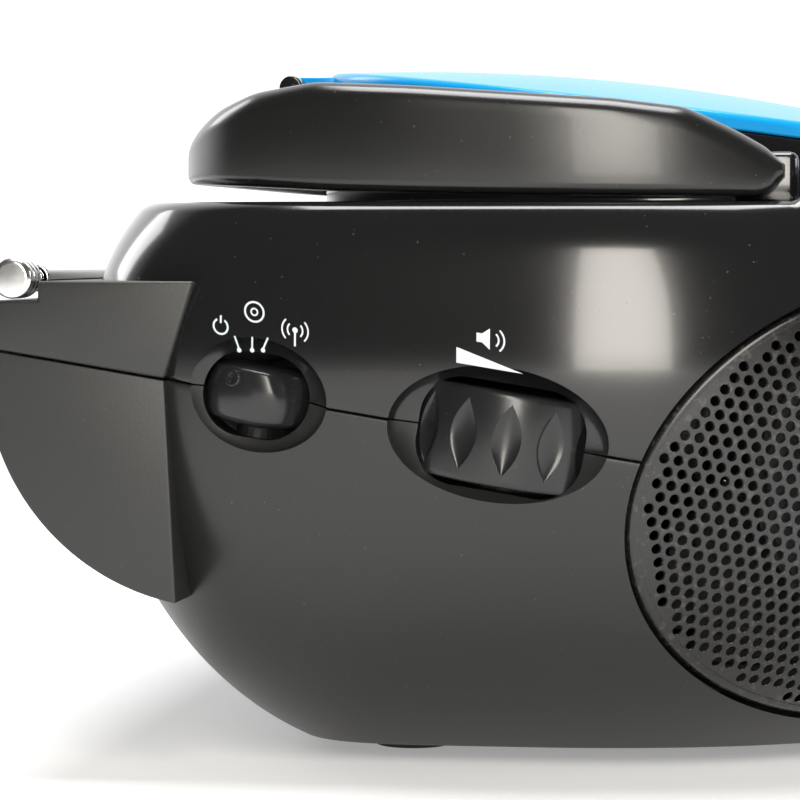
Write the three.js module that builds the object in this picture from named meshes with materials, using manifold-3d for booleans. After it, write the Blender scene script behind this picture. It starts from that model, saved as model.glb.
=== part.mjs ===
// Portable CD player with radio: an assembly of separate moulded, pressed and turned pieces.
// Millimetres, +Z up, front towards -Y, origin at the middle of the footprint on the table.
import * as THREE from 'three';
import { mergeVertices } from 'three/addons/utils/BufferGeometryUtils.js';
import Module from 'manifold-3d';

const wasm = await Module();
wasm.setup();

// ---------- driving dimensions ----------
const gap = 0.3;                     // clearance between pieces that meet
const wall = 2.5;                    // moulded wall of the case
const halfWidth = 125;               // case, at its widest
const caseFront = -108.6;            // front of the case
const caseRear = 99;                 // rear wall of the case, behind which the drum stands
const drumRear = caseRear + 9;       // rearmost face
const widestY = 15;                  // where the plan outline is widest
const rearSquareness = 5;            // exponent of the rear half of the plan outline
const frontSquareness = 2.3;         // exponent of the front half
const equatorZ = 75;                 // height of the widest outline
const footHeight = 3;                // underside of the case above the table
const bellyTuck = 60;                // how far the underside is tucked in
const bellyDepth = 78;               // height over which it is tucked in
const shoulderTuck = 10;             // how far the rim is tucked in
const ledgeZ = 104.3;                // ledge that the folded handle lies over
const partingZ = 60;                 // parting line height at y = 0
const partingSlope = 0.165;          // it climbs towards the rear
const lidRadius = 68;
const lidY = -4;                     // lid centre
const lidRimZ = 124.3;               // plane of the lid's rim edge at y = 0
const lidSlope = 0.122;              // the lid leans forward
const lidDome = 5.65;                // crown of the lid
const lidSkin = 2.2;
const lidRimDepth = 3;
const deckDrop = 7.4;                // front deck below the lid's rim plane
const shoulderY = -42;               // where the front deck begins
const drumEnd = 122;                 // end faces of the rear drum
const drumY = drumRear - 43;
const drumZ = 74.5;
const drumTop = 90;
const antennaY = drumRear - 5.1;
const antennaZ = 90.5;
const antennaRadius = 2.6;
const tipRadius = 3.7;
const volumeY = 14.5;
const volumeRadius = 18;
const volumeHeight = 16.8;
const functionY = 58.5;
const functionRadius = 10;
const functionHeight = 11;
const handlePivotY = -30.7;
const handlePivotZ = 109;
const handlePinRadius = 2.5;
const handleInner = 93;              // half distance between the handle's arms
const handleMargin = 1.5;            // handle's outline inside the case's rim
const handleBarInner = 61.2;         // reach of the handle's inner outline behind the widest place
const collarWall = 2;                // round collar under the lid
const volumeDish = [20, 12.7, 5.5];  // half length, half height and depth of a wheel's dish
const volumeSlot = [30, 19.4, 7];    // length, height and corner radius of a wheel's slot
const functionDish = [13.5, 10.3, 5];
const functionSlot = [19.4, 15.4, 6.5];
const grilleX = 103;                 // middle of a speaker opening, on the case surface
const grilleY = -66;
const grilleZ = 50;
const grilleHalfLength = 57;
const grilleHalfHeight = 42;
const speakerRadius = 33;
const panelHalfWidth = 47;
const panelBottom = 26;
const panelTop = 97;
const buttonWidth = 14.4;
const buttonDepth = 9.5;
const buttonY = -84;
const doorHalfWidth = 80;
const doorBottom = 9;
const doorTop = 31;

// ---------- materials ----------
const plastic = (color, roughness, metalness = 0) =>
  new THREE.MeshStandardMaterial({ color, roughness, metalness });
const glossBlack = plastic(0x0b0b0c, 0.18);
const satinBlack = plastic(0x1b1d1d, 0.42);
const lidBlue = plastic(0x0f8fe0, 0.12);
const innerBlack = plastic(0x151515, 0.6);
const chrome = plastic(0xdcdcdc, 0.12, 1);
const steel = plastic(0x9a9a9a, 0.35, 1);
const board = plastic(0x1f5a34, 0.6);
const rubber = plastic(0x161616, 0.9);
const clearPlastic = plastic(0x99a4aa, 0.08);
const scalePrint = plastic(0xd8d8d0, 0.5);
const paper = plastic(0x232325, 0.85);
const pointerRed = plastic(0xc42014, 0.4);

// ---------- solids ----------
function solid(geometry) {
  const bare = geometry.clone();
  for (const name of Object.keys(bare.attributes)) {
    if (name !== 'position') bare.deleteAttribute(name);
  }
  const merged = mergeVertices(bare, 1e-4);
  return new wasm.Manifold(new wasm.Mesh({
    numProp: 3,
    vertProperties: new Float32Array(merged.attributes.position.array),
    triVerts: new Uint32Array(merged.index.array),
  }));
}

function geometryOf(body) {
  const mesh = body.getMesh();
  const geometry = new THREE.BufferGeometry();
  geometry.setAttribute('position', new THREE.BufferAttribute(new Float32Array(mesh.vertProperties), 3));
  geometry.setIndex(new THREE.BufferAttribute(new Uint32Array(mesh.triVerts), 1));
  return geometry;
}

const moved = (geometry, x, y, z) => geometry.translate(x, y, z);

function box(x0, x1, y0, y1, z0, z1) {
  const block = new THREE.BoxGeometry(x1 - x0, y1 - y0, z1 - z0);
  return solid(moved(block, (x0 + x1) / 2, (y0 + y1) / 2, (z0 + z1) / 2));
}

// A straight round bar between two points.
function rod(radius, from, to, sides = 12) {
  const start = new THREE.Vector3(...from);
  const end = new THREE.Vector3(...to);
  const along = end.clone().sub(start);
  const bar = new THREE.CylinderGeometry(radius, radius, along.length(), sides);
  bar.applyQuaternion(new THREE.Quaternion().setFromUnitVectors(
    new THREE.Vector3(0, 1, 0), along.clone().normalize()));
  const middle = start.add(end).multiplyScalar(0.5);
  return solid(moved(bar, middle.x, middle.y, middle.z));
}

// A body turned from [radius, height] points about +Z.
function turned(points, sides = 16) {
  const profile = points.map(([radius, height]) => new THREE.Vector2(radius, height));
  const lathe = new THREE.LatheGeometry(profile, sides);
  lathe.rotateX(Math.PI / 2);
  return solid(lathe);
}

// A prism along X with the given [y, z] outline.
function prismX(outline, x0, x1) {
  const shape = new THREE.Shape(outline.map(([y, z]) => new THREE.Vector2(y, z)));
  const prism = new THREE.ExtrudeGeometry(shape, { depth: x1 - x0, bevelEnabled: false });
  prism.applyMatrix4(new THREE.Matrix4().makeBasis(
    new THREE.Vector3(0, 1, 0), new THREE.Vector3(0, 0, 1), new THREE.Vector3(1, 0, 0)));
  return solid(moved(prism, x0, 0, 0));
}

// A prism along Z with the given [x, y] outline.
function prismZ(outline, z0, z1) {
  const shape = new THREE.Shape(outline.map(([x, y]) => new THREE.Vector2(x, y)));
  const prism = new THREE.ExtrudeGeometry(shape, { depth: z1 - z0, bevelEnabled: false });
  return solid(moved(prism, 0, 0, z0));
}

// A closed body through rings of points, each ring anticlockwise seen from above.
function loft(rings) {
  const count = rings[0].length;
  const points = rings.flat(2);
  const faces = [];
  for (let level = 0; level < rings.length - 1; level += 1) {
    for (let i = 0; i < count; i += 1) {
      const next = (i + 1) % count;
      const a = level * count + i;
      const b = level * count + next;
      faces.push(a, b, b + count, a, b + count, a + count);
    }
  }
  for (const [level, up] of [[0, false], [rings.length - 1, true]]) {
    const centre = points.length / 3;
    const z = rings[level][0][2];
    points.push(0, widestY, z);
    for (let i = 0; i < count; i += 1) {
      const a = level * count + i;
      const b = level * count + ((i + 1) % count);
      faces.push(...(up ? [centre, a, b] : [centre, b, a]));
    }
  }
  const geometry = new THREE.BufferGeometry();
  geometry.setAttribute('position', new THREE.Float32BufferAttribute(points, 3));
  geometry.setIndex(faces);
  return solid(geometry);
}

// ---------- the case's outer form ----------
function tuck(z) {
  if (z >= equatorZ) return shoulderTuck * ((z - equatorZ) / 30) ** 2.5;
  const t = (equatorZ - z) / bellyDepth;
  return bellyTuck * (1 - Math.sqrt(1 - t * t));
}

function planPoint(angle, inset) {
  const rear = Math.sin(angle) > 0;
  const n = rear ? rearSquareness : frontSquareness;
  const c = Math.cos(angle);
  const s = Math.sin(angle);
  const a = halfWidth - inset;
  const b = (rear ? caseRear - widestY : widestY - caseFront) - inset;
  return [
    a * Math.sign(c) * Math.abs(c) ** (2 / n),
    widestY + b * Math.sign(s) * Math.abs(s) ** (2 / n),
  ];
}

const planSteps = 36;
const outerHeights = [8, 16, 28, 43, 59, equatorZ, 90, 99, 106, 116];
const innerHeights = [20, 43, equatorZ, 99, 116];
function caseForm(inset, bottom, heights = outerHeights) {
  return loft([bottom, ...heights].map((z) =>
    Array.from({ length: planSteps }, (_, i) =>
      [...planPoint((2 * Math.PI * i) / planSteps, tuck(z) + inset), z])));
}

const deckZ = (y) => lidRimZ + lidSlope * y - deckDrop;
const farX = halfWidth + 10;
const farY = 130;

// Everything below the flat handle ledge and the sloping front deck.
function belowTop(inset) {
  const step = shoulderY - inset;
  const outline = [
    [farY, -10], [farY, ledgeZ - inset], [step + 5, ledgeZ - inset], [step + 2.2, ledgeZ + 1.1 - inset],
    [step + 0.6, ledgeZ + 3.4 - inset], [step, deckZ(step) - 0.8 - inset], [step - 1.5, deckZ(step - 1.5) - inset],
    [-farY, deckZ(-farY) - inset], [-farY, -10],
  ];
  return prismX(outline, -farX, farX);
}

// The rear drum: a quarter round below, upright above, with a step for the antenna.
function drumForm(inset) {
  const radius = drumRear - drumY - inset;
  const front = drumY + 6 + inset;
  const arc = [];
  const last = Math.acos((front - drumY) / radius);
  const arcSteps = 9;
  for (let i = 0; i <= arcSteps; i += 1) {
    const angle = -last + (last * i) / arcSteps;
    arc.push([drumY + radius * Math.cos(angle), drumZ + radius * Math.sin(angle)]);
  }
  const step = antennaY - tipRadius - 1 - inset;
  const stepZ = antennaZ - tipRadius - gap - inset;
  const top = drumTop - inset;
  return prismX([...arc, [drumRear - inset, stepZ], [step, stepZ], [step, top],
    [front - 3.5, top], [front + 2, drumZ]], -(drumEnd - inset), drumEnd - inset);
}

// Half space below (or above) the sloping parting line.
const partingAngle = Math.atan(partingSlope);
function partingSide(above, offset) {
  const z = (y) => partingZ + partingSlope * y + offset;
  const limit = above ? 200 : -20;
  const outline = [[-farY, z(-farY)], [farY, z(farY)], [farY, limit], [-farY, limit]];
  return prismX(above ? outline : outline.reverse(), -farX, farX);
}

// ---------- the tilted frame of the lid and the disc drive ----------
const lidTilt = Math.atan(lidSlope);
const lidFrame = new THREE.Matrix4().makeTranslation(0, lidY, lidRimZ + lidSlope * lidY)
  .multiply(new THREE.Matrix4().makeRotationX(lidTilt));
const drive = (body) => body.transform(lidFrame.elements);

// ---------- openings and bosses of the case ----------
const knobAxis = new THREE.Vector3(0, -Math.sin(partingAngle), Math.cos(partingAngle));

function alongKnob(x, y, distance) {
  const z = partingZ + partingSlope * y;
  return [x, y + knobAxis.y * distance, z + knobAxis.z * distance];
}

const surfaceX = (y, z) => {
  const inset = tuck(z);
  const rear = y > widestY;
  const n = rear ? rearSquareness : frontSquareness;
  const b = (rear ? caseRear - widestY : widestY - caseFront) - inset;
  return (halfWidth - inset) * (1 - Math.abs((y - widestY) / b) ** n) ** (1 / n);
};

// A shallow oval dish in the side wall, with its own backing.
function dish(side, y, halfLength, halfHeight, depth, grow) {
  const z = partingZ + partingSlope * y;
  const ball = new THREE.SphereGeometry(1, 16, 8);
  ball.scale(depth + grow, halfLength + grow, halfHeight + grow);
  ball.rotateX(partingAngle);
  return solid(moved(ball, side * (surfaceX(y, z) + 0.2), y, z));
}

function roundedSlot(side, y, length, height, corner) {
  const shape = new THREE.Shape();
  const l = length / 2;
  const h = height / 2;
  shape.moveTo(-l + corner, -h);
  shape.lineTo(l - corner, -h);
  shape.absarc(l - corner, -h + corner, corner, -Math.PI / 2, 0, false);
  shape.absarc(l - corner, h - corner, corner, 0, Math.PI / 2, false);
  shape.absarc(-l + corner, h - corner, corner, Math.PI / 2, Math.PI, false);
  shape.absarc(-l + corner, -h + corner, corner, Math.PI, 1.5 * Math.PI, false);
  const slot = new THREE.ExtrudeGeometry(shape, { depth: 24, bevelEnabled: false, curveSegments: 3 });
  slot.applyMatrix4(new THREE.Matrix4().makeBasis(
    new THREE.Vector3(0, 1, 0), new THREE.Vector3(0, 0, 1), new THREE.Vector3(1, 0, 0)));
  slot.rotateX(partingAngle);
  const z = partingZ + partingSlope * y;
  return solid(moved(slot, side * surfaceX(y, z) - 12, y, z));
}

const volumeX = surfaceX(volumeY, partingZ + partingSlope * volumeY) + 0.3 - volumeRadius;
const functionX = surfaceX(functionY, partingZ + partingSlope * functionY) - 0.9 - functionRadius;
const knobs = [
  { side: -1, y: volumeY, x: volumeX, radius: volumeRadius, height: volumeHeight,
    dish: volumeDish, slot: volumeSlot },
  { side: 1, y: volumeY, x: volumeX, radius: volumeRadius, height: volumeHeight,
    dish: volumeDish, slot: volumeSlot },
  { side: -1, y: functionY, x: functionX, radius: functionRadius, height: functionHeight,
    dish: functionDish, slot: functionSlot },
];

// The speaker openings look forwards and outwards, square to the case at their middle.
const speakerTurn = 37.2 * Math.PI / 180;
const speakerDip = 12 * Math.PI / 180;
function speakerPrism(side, halfLength, halfHeight) {
  const oval = new THREE.Shape();
  oval.absellipse(0, 0, halfLength, halfHeight, 0, 2 * Math.PI, false);
  const prism = new THREE.ExtrudeGeometry(oval, { depth: 70, bevelEnabled: false, curveSegments: 14 });
  prism.translate(0, 0, -45);
  const out = new THREE.Vector3(side * Math.cos(speakerTurn), -Math.sin(speakerTurn), 0);
  const up = new THREE.Vector3(0, 0, 1);
  const across = up.clone().cross(out);
  prism.applyMatrix4(new THREE.Matrix4().makeBasis(across, up, out));
  return solid(moved(prism, side * grilleX, grilleY, grilleZ));
}

const screwSpots = [[-82, 36], [82, 36], [-44, -62], [44, -62]];
const screwHeadZ = 12;
const bossRadius = 5;
const screwRadius = 2;
const footSpots = [[-64, 38], [64, 38], [-50, -42], [50, -42]];
const footRadius = 8;
const stemRadius = 2.5;

const outer = caseForm(0, footHeight).intersect(belowTop(0)).add(drumForm(0));
const inner = caseForm(wall, footHeight + wall, innerHeights).intersect(belowTop(wall)).add(drumForm(wall));
let caseShell = outer.subtract(inner);
const collarOuter = lidRadius + 0.5;
const collarInner = collarOuter - collarWall;
const collarTop = -lidRimDepth - gap;
const collar = drive(turned([[collarInner, -30], [collarOuter, -30], [collarOuter, collarTop],
  [collarInner, collarTop], [collarInner, -30]], 36));
const belowDeck = prismX([[-farY, 0], [farY, 0], [farY, ledgeZ - wall], [shoulderY, ledgeZ - wall],
  [-farY, deckZ(-farY) - wall]], -farX, farX);
caseShell = caseShell.add(collar.subtract(belowDeck));
for (const [x, y] of screwSpots) {
  const column = rod(bossRadius, [x, y, 0], [x, y, deckZ(y) - 1], 10);
  caseShell = caseShell.add(column.intersect(outer));
  caseShell = caseShell.subtract(rod(4 + gap, [x, y, -5], [x, y, screwHeadZ], 10));
  const boreTop = partingZ + partingSlope * y + 14;
  caseShell = caseShell.subtract(rod(screwRadius + gap, [x, y, 0], [x, y, boreTop], 8));
}
for (const [x, y] of footSpots) {
  caseShell = caseShell.subtract(rod(stemRadius + gap, [x, y, 0], [x, y, 9], 8));
}
for (const knob of knobs) {
  const [length, height, depth] = knob.dish;
  caseShell = caseShell.add(dish(knob.side, knob.y, length, height, depth, wall - 0.3).intersect(outer));
  caseShell = caseShell.subtract(dish(knob.side, knob.y, length, height, depth, 0));
  caseShell = caseShell.subtract(roundedSlot(knob.side, knob.y, ...knob.slot));
  const reach = knob.height / 2 + 1;
  caseShell = caseShell.subtract(rod(knob.radius + 0.9, alongKnob(knob.side * knob.x, knob.y, -reach),
    alongKnob(knob.side * knob.x, knob.y, reach), 32));
}

// The two speaker openings.
for (const side of [-1, 1]) {
  caseShell = caseShell.subtract(speakerPrism(side, grilleHalfLength, grilleHalfHeight));
}
// The front panel, its opening, and the two windows in it.
const skin = (from, to) => caseForm(from, footHeight + from).subtract(caseForm(to, footHeight + to));
const frontBox = (x, z0, z1) => box(-x, x, -farY, -60, z0, z1);
const windowBox = (x, z0, z1) => frontBox(x - gap, z0 + gap, z1 - gap);
caseShell = caseShell.subtract(frontBox(panelHalfWidth + gap, panelBottom - gap, panelTop + gap));
const dialHalf = 38;
const dialBottom = 64;
const dialTop = 88;
const displayHalf = 17;
const displayBottom = 38;
const displayTop = 55;
const frontPanel = skin(0.2, wall).intersect(frontBox(panelHalfWidth, panelBottom, panelTop))
  .subtract(frontBox(dialHalf, dialBottom, dialTop))
  .subtract(frontBox(displayHalf, displayBottom, displayTop));
const windowSkin = skin(0.6, 1.8);
const dialWindow = windowSkin.intersect(windowBox(dialHalf, dialBottom, dialTop));
const displayWindow = windowSkin.intersect(windowBox(displayHalf, displayBottom, displayTop));

// Five transport buttons in the front deck.
const buttonPitch = buttonWidth + 1.6;
const buttonXs = [-2, -1, 0, 1, 2].map((i) => i * buttonPitch);
for (const x of buttonXs) {
  const h = buttonWidth / 2 + gap;
  const d = buttonDepth / 2 + gap;
  caseShell = caseShell.subtract(box(x - h, x + h, buttonY - d, buttonY + d, 90, 120));
}

// The battery opening in the lower rear, and its cover.
const doorBlock = (margin) => box(-doorHalfWidth + margin, doorHalfWidth - margin, 45, farY,
  doorBottom + margin, doorTop - margin);
const batteryDoor = skin(0, wall).intersect(doorBlock(gap));
caseShell = caseShell.subtract(doorBlock(0));

// The mains inlet in the rear of the drum.
const inletX = 60;
const inletZ = 64;
const inletHalf = [12, 7.5];
const inletFace = drumRear - 2.2;
caseShell = caseShell.subtract(box(inletX - inletHalf[0] - gap, inletX + inletHalf[0] + gap, 90, farY,
  inletZ - inletHalf[1] - gap, inletZ + inletHalf[1] + gap));

// Ears beside the collar that carry the handle's pins.
const earOuter = handleInner - gap;
const earOutline = [[-6, ledgeZ - 1 - handlePivotZ], [6, ledgeZ - 1 - handlePivotZ], [6, 0], [4, 4.5], [-4, 4.5],
  [-6, 0]].map(([y, z]) => [handlePivotY + y, handlePivotZ + z]);
const alongPivot = (x0, x1, radius) =>
  rod(radius, [x0, handlePivotY, handlePivotZ], [x1, handlePivotY, handlePivotZ], 16);
for (const side of [-1, 1]) {
  const x = [side * (earOuter - 8), side * earOuter].sort((a, b) => a - b);
  caseShell = caseShell.add(prismX(earOutline, ...x));
  caseShell = caseShell.subtract(alongPivot(side * (earOuter - 6), side * (earOuter + 1), handlePinRadius + gap));
}

// Lugs at the rear of the collar that carry the lid's hinge pins.
const hingeY = 68.4;
const hingeZ = 128.6;
const hingeRadius = 2.4;
const lugXs = [-24, 24];
const behindCollar = (x) => lidY + Math.sqrt(lidRadius ** 2 - x ** 2);
for (const x of lugXs) {
  const start = behindCollar(Math.abs(x) + 3) - 3;
  caseShell = caseShell.add(box(x - 3, x + 3, start, hingeY + 1.2, hingeZ - 12, hingeZ - 2.6)
    .add(rod(hingeRadius, [x - 3, hingeY, hingeZ], [x + 3, hingeY, hingeZ], 20)
      .add(box(x - 3, x + 3, hingeY - 1.6, hingeY + 1.2, hingeZ - 4, hingeZ))));
}

caseShell = caseShell.subtract(drive(rod(lidRadius - 1.5, [0, 0, -40], [0, 0, 20], 36)));
const lowerCase = caseShell.intersect(partingSide(false, -gap / 2));
const upperHalf = caseShell.intersect(partingSide(true, gap / 2));
const behindCase = (margin) => box(-farX, farX, drumY - 10, farY, 0, drumTop + 1)
  .subtract(caseForm(-margin, footHeight));
const upperCase = upperHalf.subtract(behindCase(0));
// The upper half of the drum is a moulding of its own, with the antenna's step in it.
const drumCap = upperHalf.intersect(behindCase(gap));

// ---------- speakers ----------
function speakerPlace(side, body) {
  const out = new THREE.Vector3(side * Math.cos(speakerTurn), -Math.sin(speakerTurn), 0)
    .multiplyScalar(Math.cos(speakerDip)).add(new THREE.Vector3(0, 0, -Math.sin(speakerDip)));
  const across = new THREE.Vector3(0, 0, 1).cross(out).normalize();
  const up = out.clone().cross(across);
  const setBack = 16;
  const raised = 5;
  const centre = new THREE.Vector3(side * grilleX, grilleY, grilleZ + raised).addScaledVector(out, -setBack);
  const place = new THREE.Matrix4().makeBasis(across, up, out).setPosition(centre);
  return body.transform(place.elements);
}
const coneEdge = speakerRadius - 1.2;
const surroundTop = speakerRadius - 4;
const coneFoot = speakerRadius - 8;
const speakerFrame = turned([[0, -36], [20, -36], [20, -23], [18, -22], [speakerRadius - 3, -4],
  [speakerRadius, -3], [speakerRadius, 0], [speakerRadius - 3, 0], [speakerRadius - 6, -4], [15, -20], [0, -20]]);
const speakerCone = turned([[0, -12], [8, -12.5], [13, -17.5], [coneFoot, -2.5], [surroundTop, 1],
  [coneEdge, 0.5], [coneEdge, 1.3], [surroundTop, 2.2], [coneFoot - 0.6, -1.2], [13, -15.8], [8, -8], [0, -6.5]]);

// ---------- handle ----------
const handleSide = [[-31, 105.1], [18, 105.7], [48, 106.4], [83.8, 108.4], [83.8, 115], [77, 117.8],
  [70, 121.5], [62, 124.3], [50, 126], [32, 125.2], [14, 124], [-4, 122.8], [-17, 121.2], [-26, 117],
  [-32, 113.5], [-34.3, 110.5], [-33.8, 107]];
const soften = (share, n) => Math.sign(share) * Math.abs(share) ** (2 / n);

function handleSolid() {
  const endY = handlePivotY - 4;
  const a = halfWidth - shoulderTuck - handleMargin;
  const frontB = widestY - caseFront - shoulderTuck - handleMargin;
  const rearB = caseRear - widestY - shoulderTuck - handleMargin - 4;
  const frontAngle = Math.asin(((widestY - endY) / frontB) ** (frontSquareness / 2));
  const outerSteps = 40;
  const innerSteps = 24;
  const outline = [];
  for (let i = 0; i <= outerSteps; i += 1) {
    const angle = -frontAngle + ((Math.PI + 2 * frontAngle) * i) / outerSteps;
    const [n, b] = Math.sin(angle) > 0 ? [4, rearB] : [frontSquareness, frontB];
    outline.push([a * soften(Math.cos(angle), n), widestY + b * soften(Math.sin(angle), n)]);
  }
  outline.push([-handleInner, endY]);
  for (let i = 0; i <= innerSteps; i += 1) {
    const angle = Math.PI - (Math.PI * i) / innerSteps;
    outline.push([handleInner * soften(Math.cos(angle), 4), widestY + handleBarInner * soften(Math.sin(angle), 4)]);
  }
  outline.push([handleInner, endY]);
  let body = prismZ(outline, 100, 130).intersect(prismX(handleSide, -farX, farX));
  for (const side of [-1, 1]) {
    body = body.subtract(alongPivot(side * (handleInner - 2), side * (handleInner + 7), handlePinRadius + gap));
  }
  return body;
}
const handlePin = (side) =>
  alongPivot(side * (earOuter - 6 + gap), side * (handleInner + 7 - gap), handlePinRadius);

// ---------- lid ----------
function lidProfile(offset, edge) {
  const points = [];
  const steps = 5;
  for (let i = 0; i <= steps; i += 1) {
    const radius = (edge * i) / steps;
    points.push([radius, lidDome * (1 - (radius / lidRadius) ** 2) - offset]);
  }
  return points;
}
const lidInner = lidRadius - 2.6;
let lidShell = drive(turned([...lidProfile(0, lidRadius - 1).reverse(), ...lidProfile(lidSkin, lidInner),
  [lidInner, -lidRimDepth], [lidRadius, -lidRimDepth], [lidRadius, -0.9],
  [lidRadius - 1, lidDome * (1 - ((lidRadius - 1) / lidRadius) ** 2)]], 36));
const knuckleXs = [-18.5, 18.5];
for (const x of knuckleXs) {
  const knuckle = rod(hingeRadius, [x - 2.2, hingeY, hingeZ], [x + 2.2, hingeY, hingeZ], 20)
    .add(box(x - 2.2, x + 2.2, behindCollar(Math.abs(x) + 2.2) - 1.2, hingeY, hingeZ + 0.6, hingeZ + 2.3));
  lidShell = lidShell.add(knuckle);
}
const linerEdge = lidRadius - 5;
const linerHole = 6.6;
const lidLiner = drive(turned([[linerHole, -3.2], [linerEdge, -3.2], [linerEdge, -1.9], [linerHole, -1.9],
  [linerHole, -3.2]], 24));
const discClamper = drive(turned([[0, -4.4], [8, -4.4], [8, -5.6], [13, -5.6], [13, -3.7], [6.2, -3.7],
  [6.2, -1.5], [9, -1.5], [9, -0.4], [0, -0.4]], 16));

// ---------- disc drive ----------
const wellFloor = -10.5;
const railV = 14;
const railW = -14.8;
const railRadius = 1.3;
const screwV = 20.2;
const sledStart = 15;
const sledLength = 14;
const sledTravel = lidRadius - 38;
const railEnd = sledStart + sledLength + sledTravel + 0.6;
const wellOuter = lidRadius - 1.8;
const wellInner = lidRadius - 3.8;
const wellTop = -lidRimDepth - 0.9;
let cdWell = turned([[0, wellFloor - 2], [wellOuter, wellFloor - 2], [wellOuter, wellTop],
  [wellInner, wellTop], [wellInner, wellFloor], [0, wellFloor]], 36);
cdWell = cdWell.subtract(rod(14.6, [0, 0, -20], [0, 0, 5], 16))
  .subtract(box(12, sledStart + sledLength / 2 + sledTravel + 5.5, -6, 6, -20, 5));
const blockSpan = screwV + 2.9;
let chassis = box(-32, railEnd + 2, -blockSpan, blockSpan, -19, -17)
  .add(box(6, 10.5, -railV - 3, blockSpan, -17.5, railW + 2))
  .add(box(railEnd, railEnd + 2, -railV - 3, blockSpan, -17.5, railW + 2));
chassis = chassis.subtract(rod(5, [0, 0, -30], [0, 0, 0], 12));
for (const v of [-railV, railV]) {
  chassis = chassis.subtract(rod(railRadius + gap, [7.5, v, railW], [railEnd + 1.4, v, railW], 12));
}
chassis = chassis.subtract(rod(railRadius + gap, [7.5, screwV, railW], [railEnd + 1.4, screwV, railW], 12));
const sledRail = (v) => rod(railRadius, [7.8, v, railW], [railEnd + 1.1, v, railW], 12);
const leadscrew = rod(railRadius, [7.8, screwV, railW], [railEnd + 1.1, screwV, railW], 12);
let pickupSled = box(sledStart, sledStart + sledLength, -railV - 3, railV + 3, -16.6, -12.9)
  .add(rod(4, [sledStart + sledLength / 2, 0, -14], [sledStart + sledLength / 2, 0, -9.6], 20));
for (const v of [-railV, railV]) {
  pickupSled = pickupSled.subtract(
    rod(railRadius + gap, [sledStart - 1, v, railW], [sledStart + sledLength + 1, v, railW], 12));
}
const spindleMotor = turned([[0, -33], [12, -33], [12, -19.4], [3, -19.4], [3, -17.8], [1, -17.8],
  [1, -7.6], [0, -7.6]], 14);
const turntable = turned([[1.3, -15.5], [4, -15.5], [4, -9.4], [13.5, -9.4], [13.5, -7.2], [7.3, -7.2],
  [6.6, -6], [3, -6], [3, -6.8], [1.3, -6.8], [1.3, -15.5]], 14);

// ---------- inside the case ----------
const boxWall = 1.6;
const boxBottom = doorBottom + gap;
const batteryBox = box(-77, 77, 7, 64, boxBottom, 35)
  .subtract(box(-77 + boxWall, 77 - boxWall, 7 + boxWall, 66, boxBottom + boxWall, 35 - boxWall));
const mainBoard = box(-62, 62, 2, 76, 40, 41.6);
const transformer = box(-24, 24, -46, -14, 12, 46).add(box(-15, 15, -52, -8, 18, 40))
  .add(box(-30, 30, -46, -14, 7, 12.5));
const buttonBoard = box(-42, 42, buttonY - 7, buttonY + 5, 96.4, 98);
const scaleY = caseFront + 11.6;
const scaleHalf = panelHalfWidth - 5;
const dialScale = box(-scaleHalf, scaleHalf, scaleY, scaleY + 1.2, dialBottom - 2, dialTop + 1);
const pointerStart = -30;
const dialPointer = box(pointerStart - 0.7, pointerStart + 0.7, scaleY - 1.4, scaleY - 0.4,
  dialBottom + 1, dialTop + 0.5);

function knobBase(knob, width) {
  const x = knob.side * knob.x;
  const low = -knob.height / 2;
  return rod(width, alongKnob(x, knob.y, low - 9), alongKnob(x, knob.y, low - 0.5), 20)
    .add(rod(3, alongKnob(x, knob.y, low - 1), alongKnob(x, knob.y, low + 7), 16));
}

// ---------- control wheels ----------
function controlWheel(knob, grooves) {
  const x = knob.side * knob.x;
  const half = knob.height / 2;
  const sag = 1.1;
  const edge = knob.radius - 2.2;
  const barrel = [[0, -half], [edge, -half], [knob.radius - sag, -half + 1.6], [knob.radius, 0],
    [knob.radius - sag, half - 1.6], [edge, half], [0, half]];
  let wheel = turned(barrel, 20);
  for (let i = 0; i < grooves; i += 1) {
    const angle = (2 * Math.PI * (i + 0.5)) / grooves;
    const cut = new THREE.SphereGeometry(1, 5, 4);
    cut.rotateX(Math.PI / 2);
    cut.scale(2.1, 2.7, half * 0.72);
    cut.translate(knob.radius + 0.6, 0, 0);
    cut.rotateZ(angle);
    wheel = wheel.subtract(solid(cut));
  }
  wheel = wheel.subtract(rod(3 + gap, [0, 0, -half - 1], [0, 0, -half + 7.6], 16));
  const place = new THREE.Matrix4().makeTranslation(x, knob.y, partingZ + partingSlope * knob.y)
    .multiply(new THREE.Matrix4().makeRotationX(partingAngle));
  return wheel.transform(place.elements);
}

// ---------- antenna ----------
const elbowX = 108;
const antennaStart = -104;
const tubeSizes = [[antennaRadius, 2.1], [1.8, 1.4], [1.1, 0.8], [0.5, 0]];
function antennaTube(index) {
  const [outerR, innerR] = tubeSizes[index];
  const start = antennaStart - index * 1.5;
  const end = elbowX - 6 - index * 3;
  const tube = rod(outerR, [start, antennaY, antennaZ], [end, antennaY, antennaZ], 12);
  if (innerR === 0) return tube;
  const boreEnd = index === 0 ? end - 2 : end + 1;
  return tube.subtract(rod(innerR, [start - 1, antennaY, antennaZ], [boreEnd, antennaY, antennaZ], 12));
}
const elbowTongue = rod(antennaRadius, [elbowX - 6.2, antennaY, antennaZ], [elbowX - 4.2, antennaY, antennaZ], 12)
  .add(rod(2.2, [elbowX, antennaY - 1.1, antennaZ], [elbowX, antennaY + 1.1, antennaZ], 16))
  .add(box(elbowX - 5, elbowX, antennaY - 1.1, antennaY + 1.1, antennaZ - 1.6, antennaZ + 1.6));
const antennaFirst = antennaTube(0).add(elbowTongue)
  .subtract(rod(0.9 + gap, [elbowX, antennaY - 4, antennaZ], [elbowX, antennaY + 4, antennaZ], 12));
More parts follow.
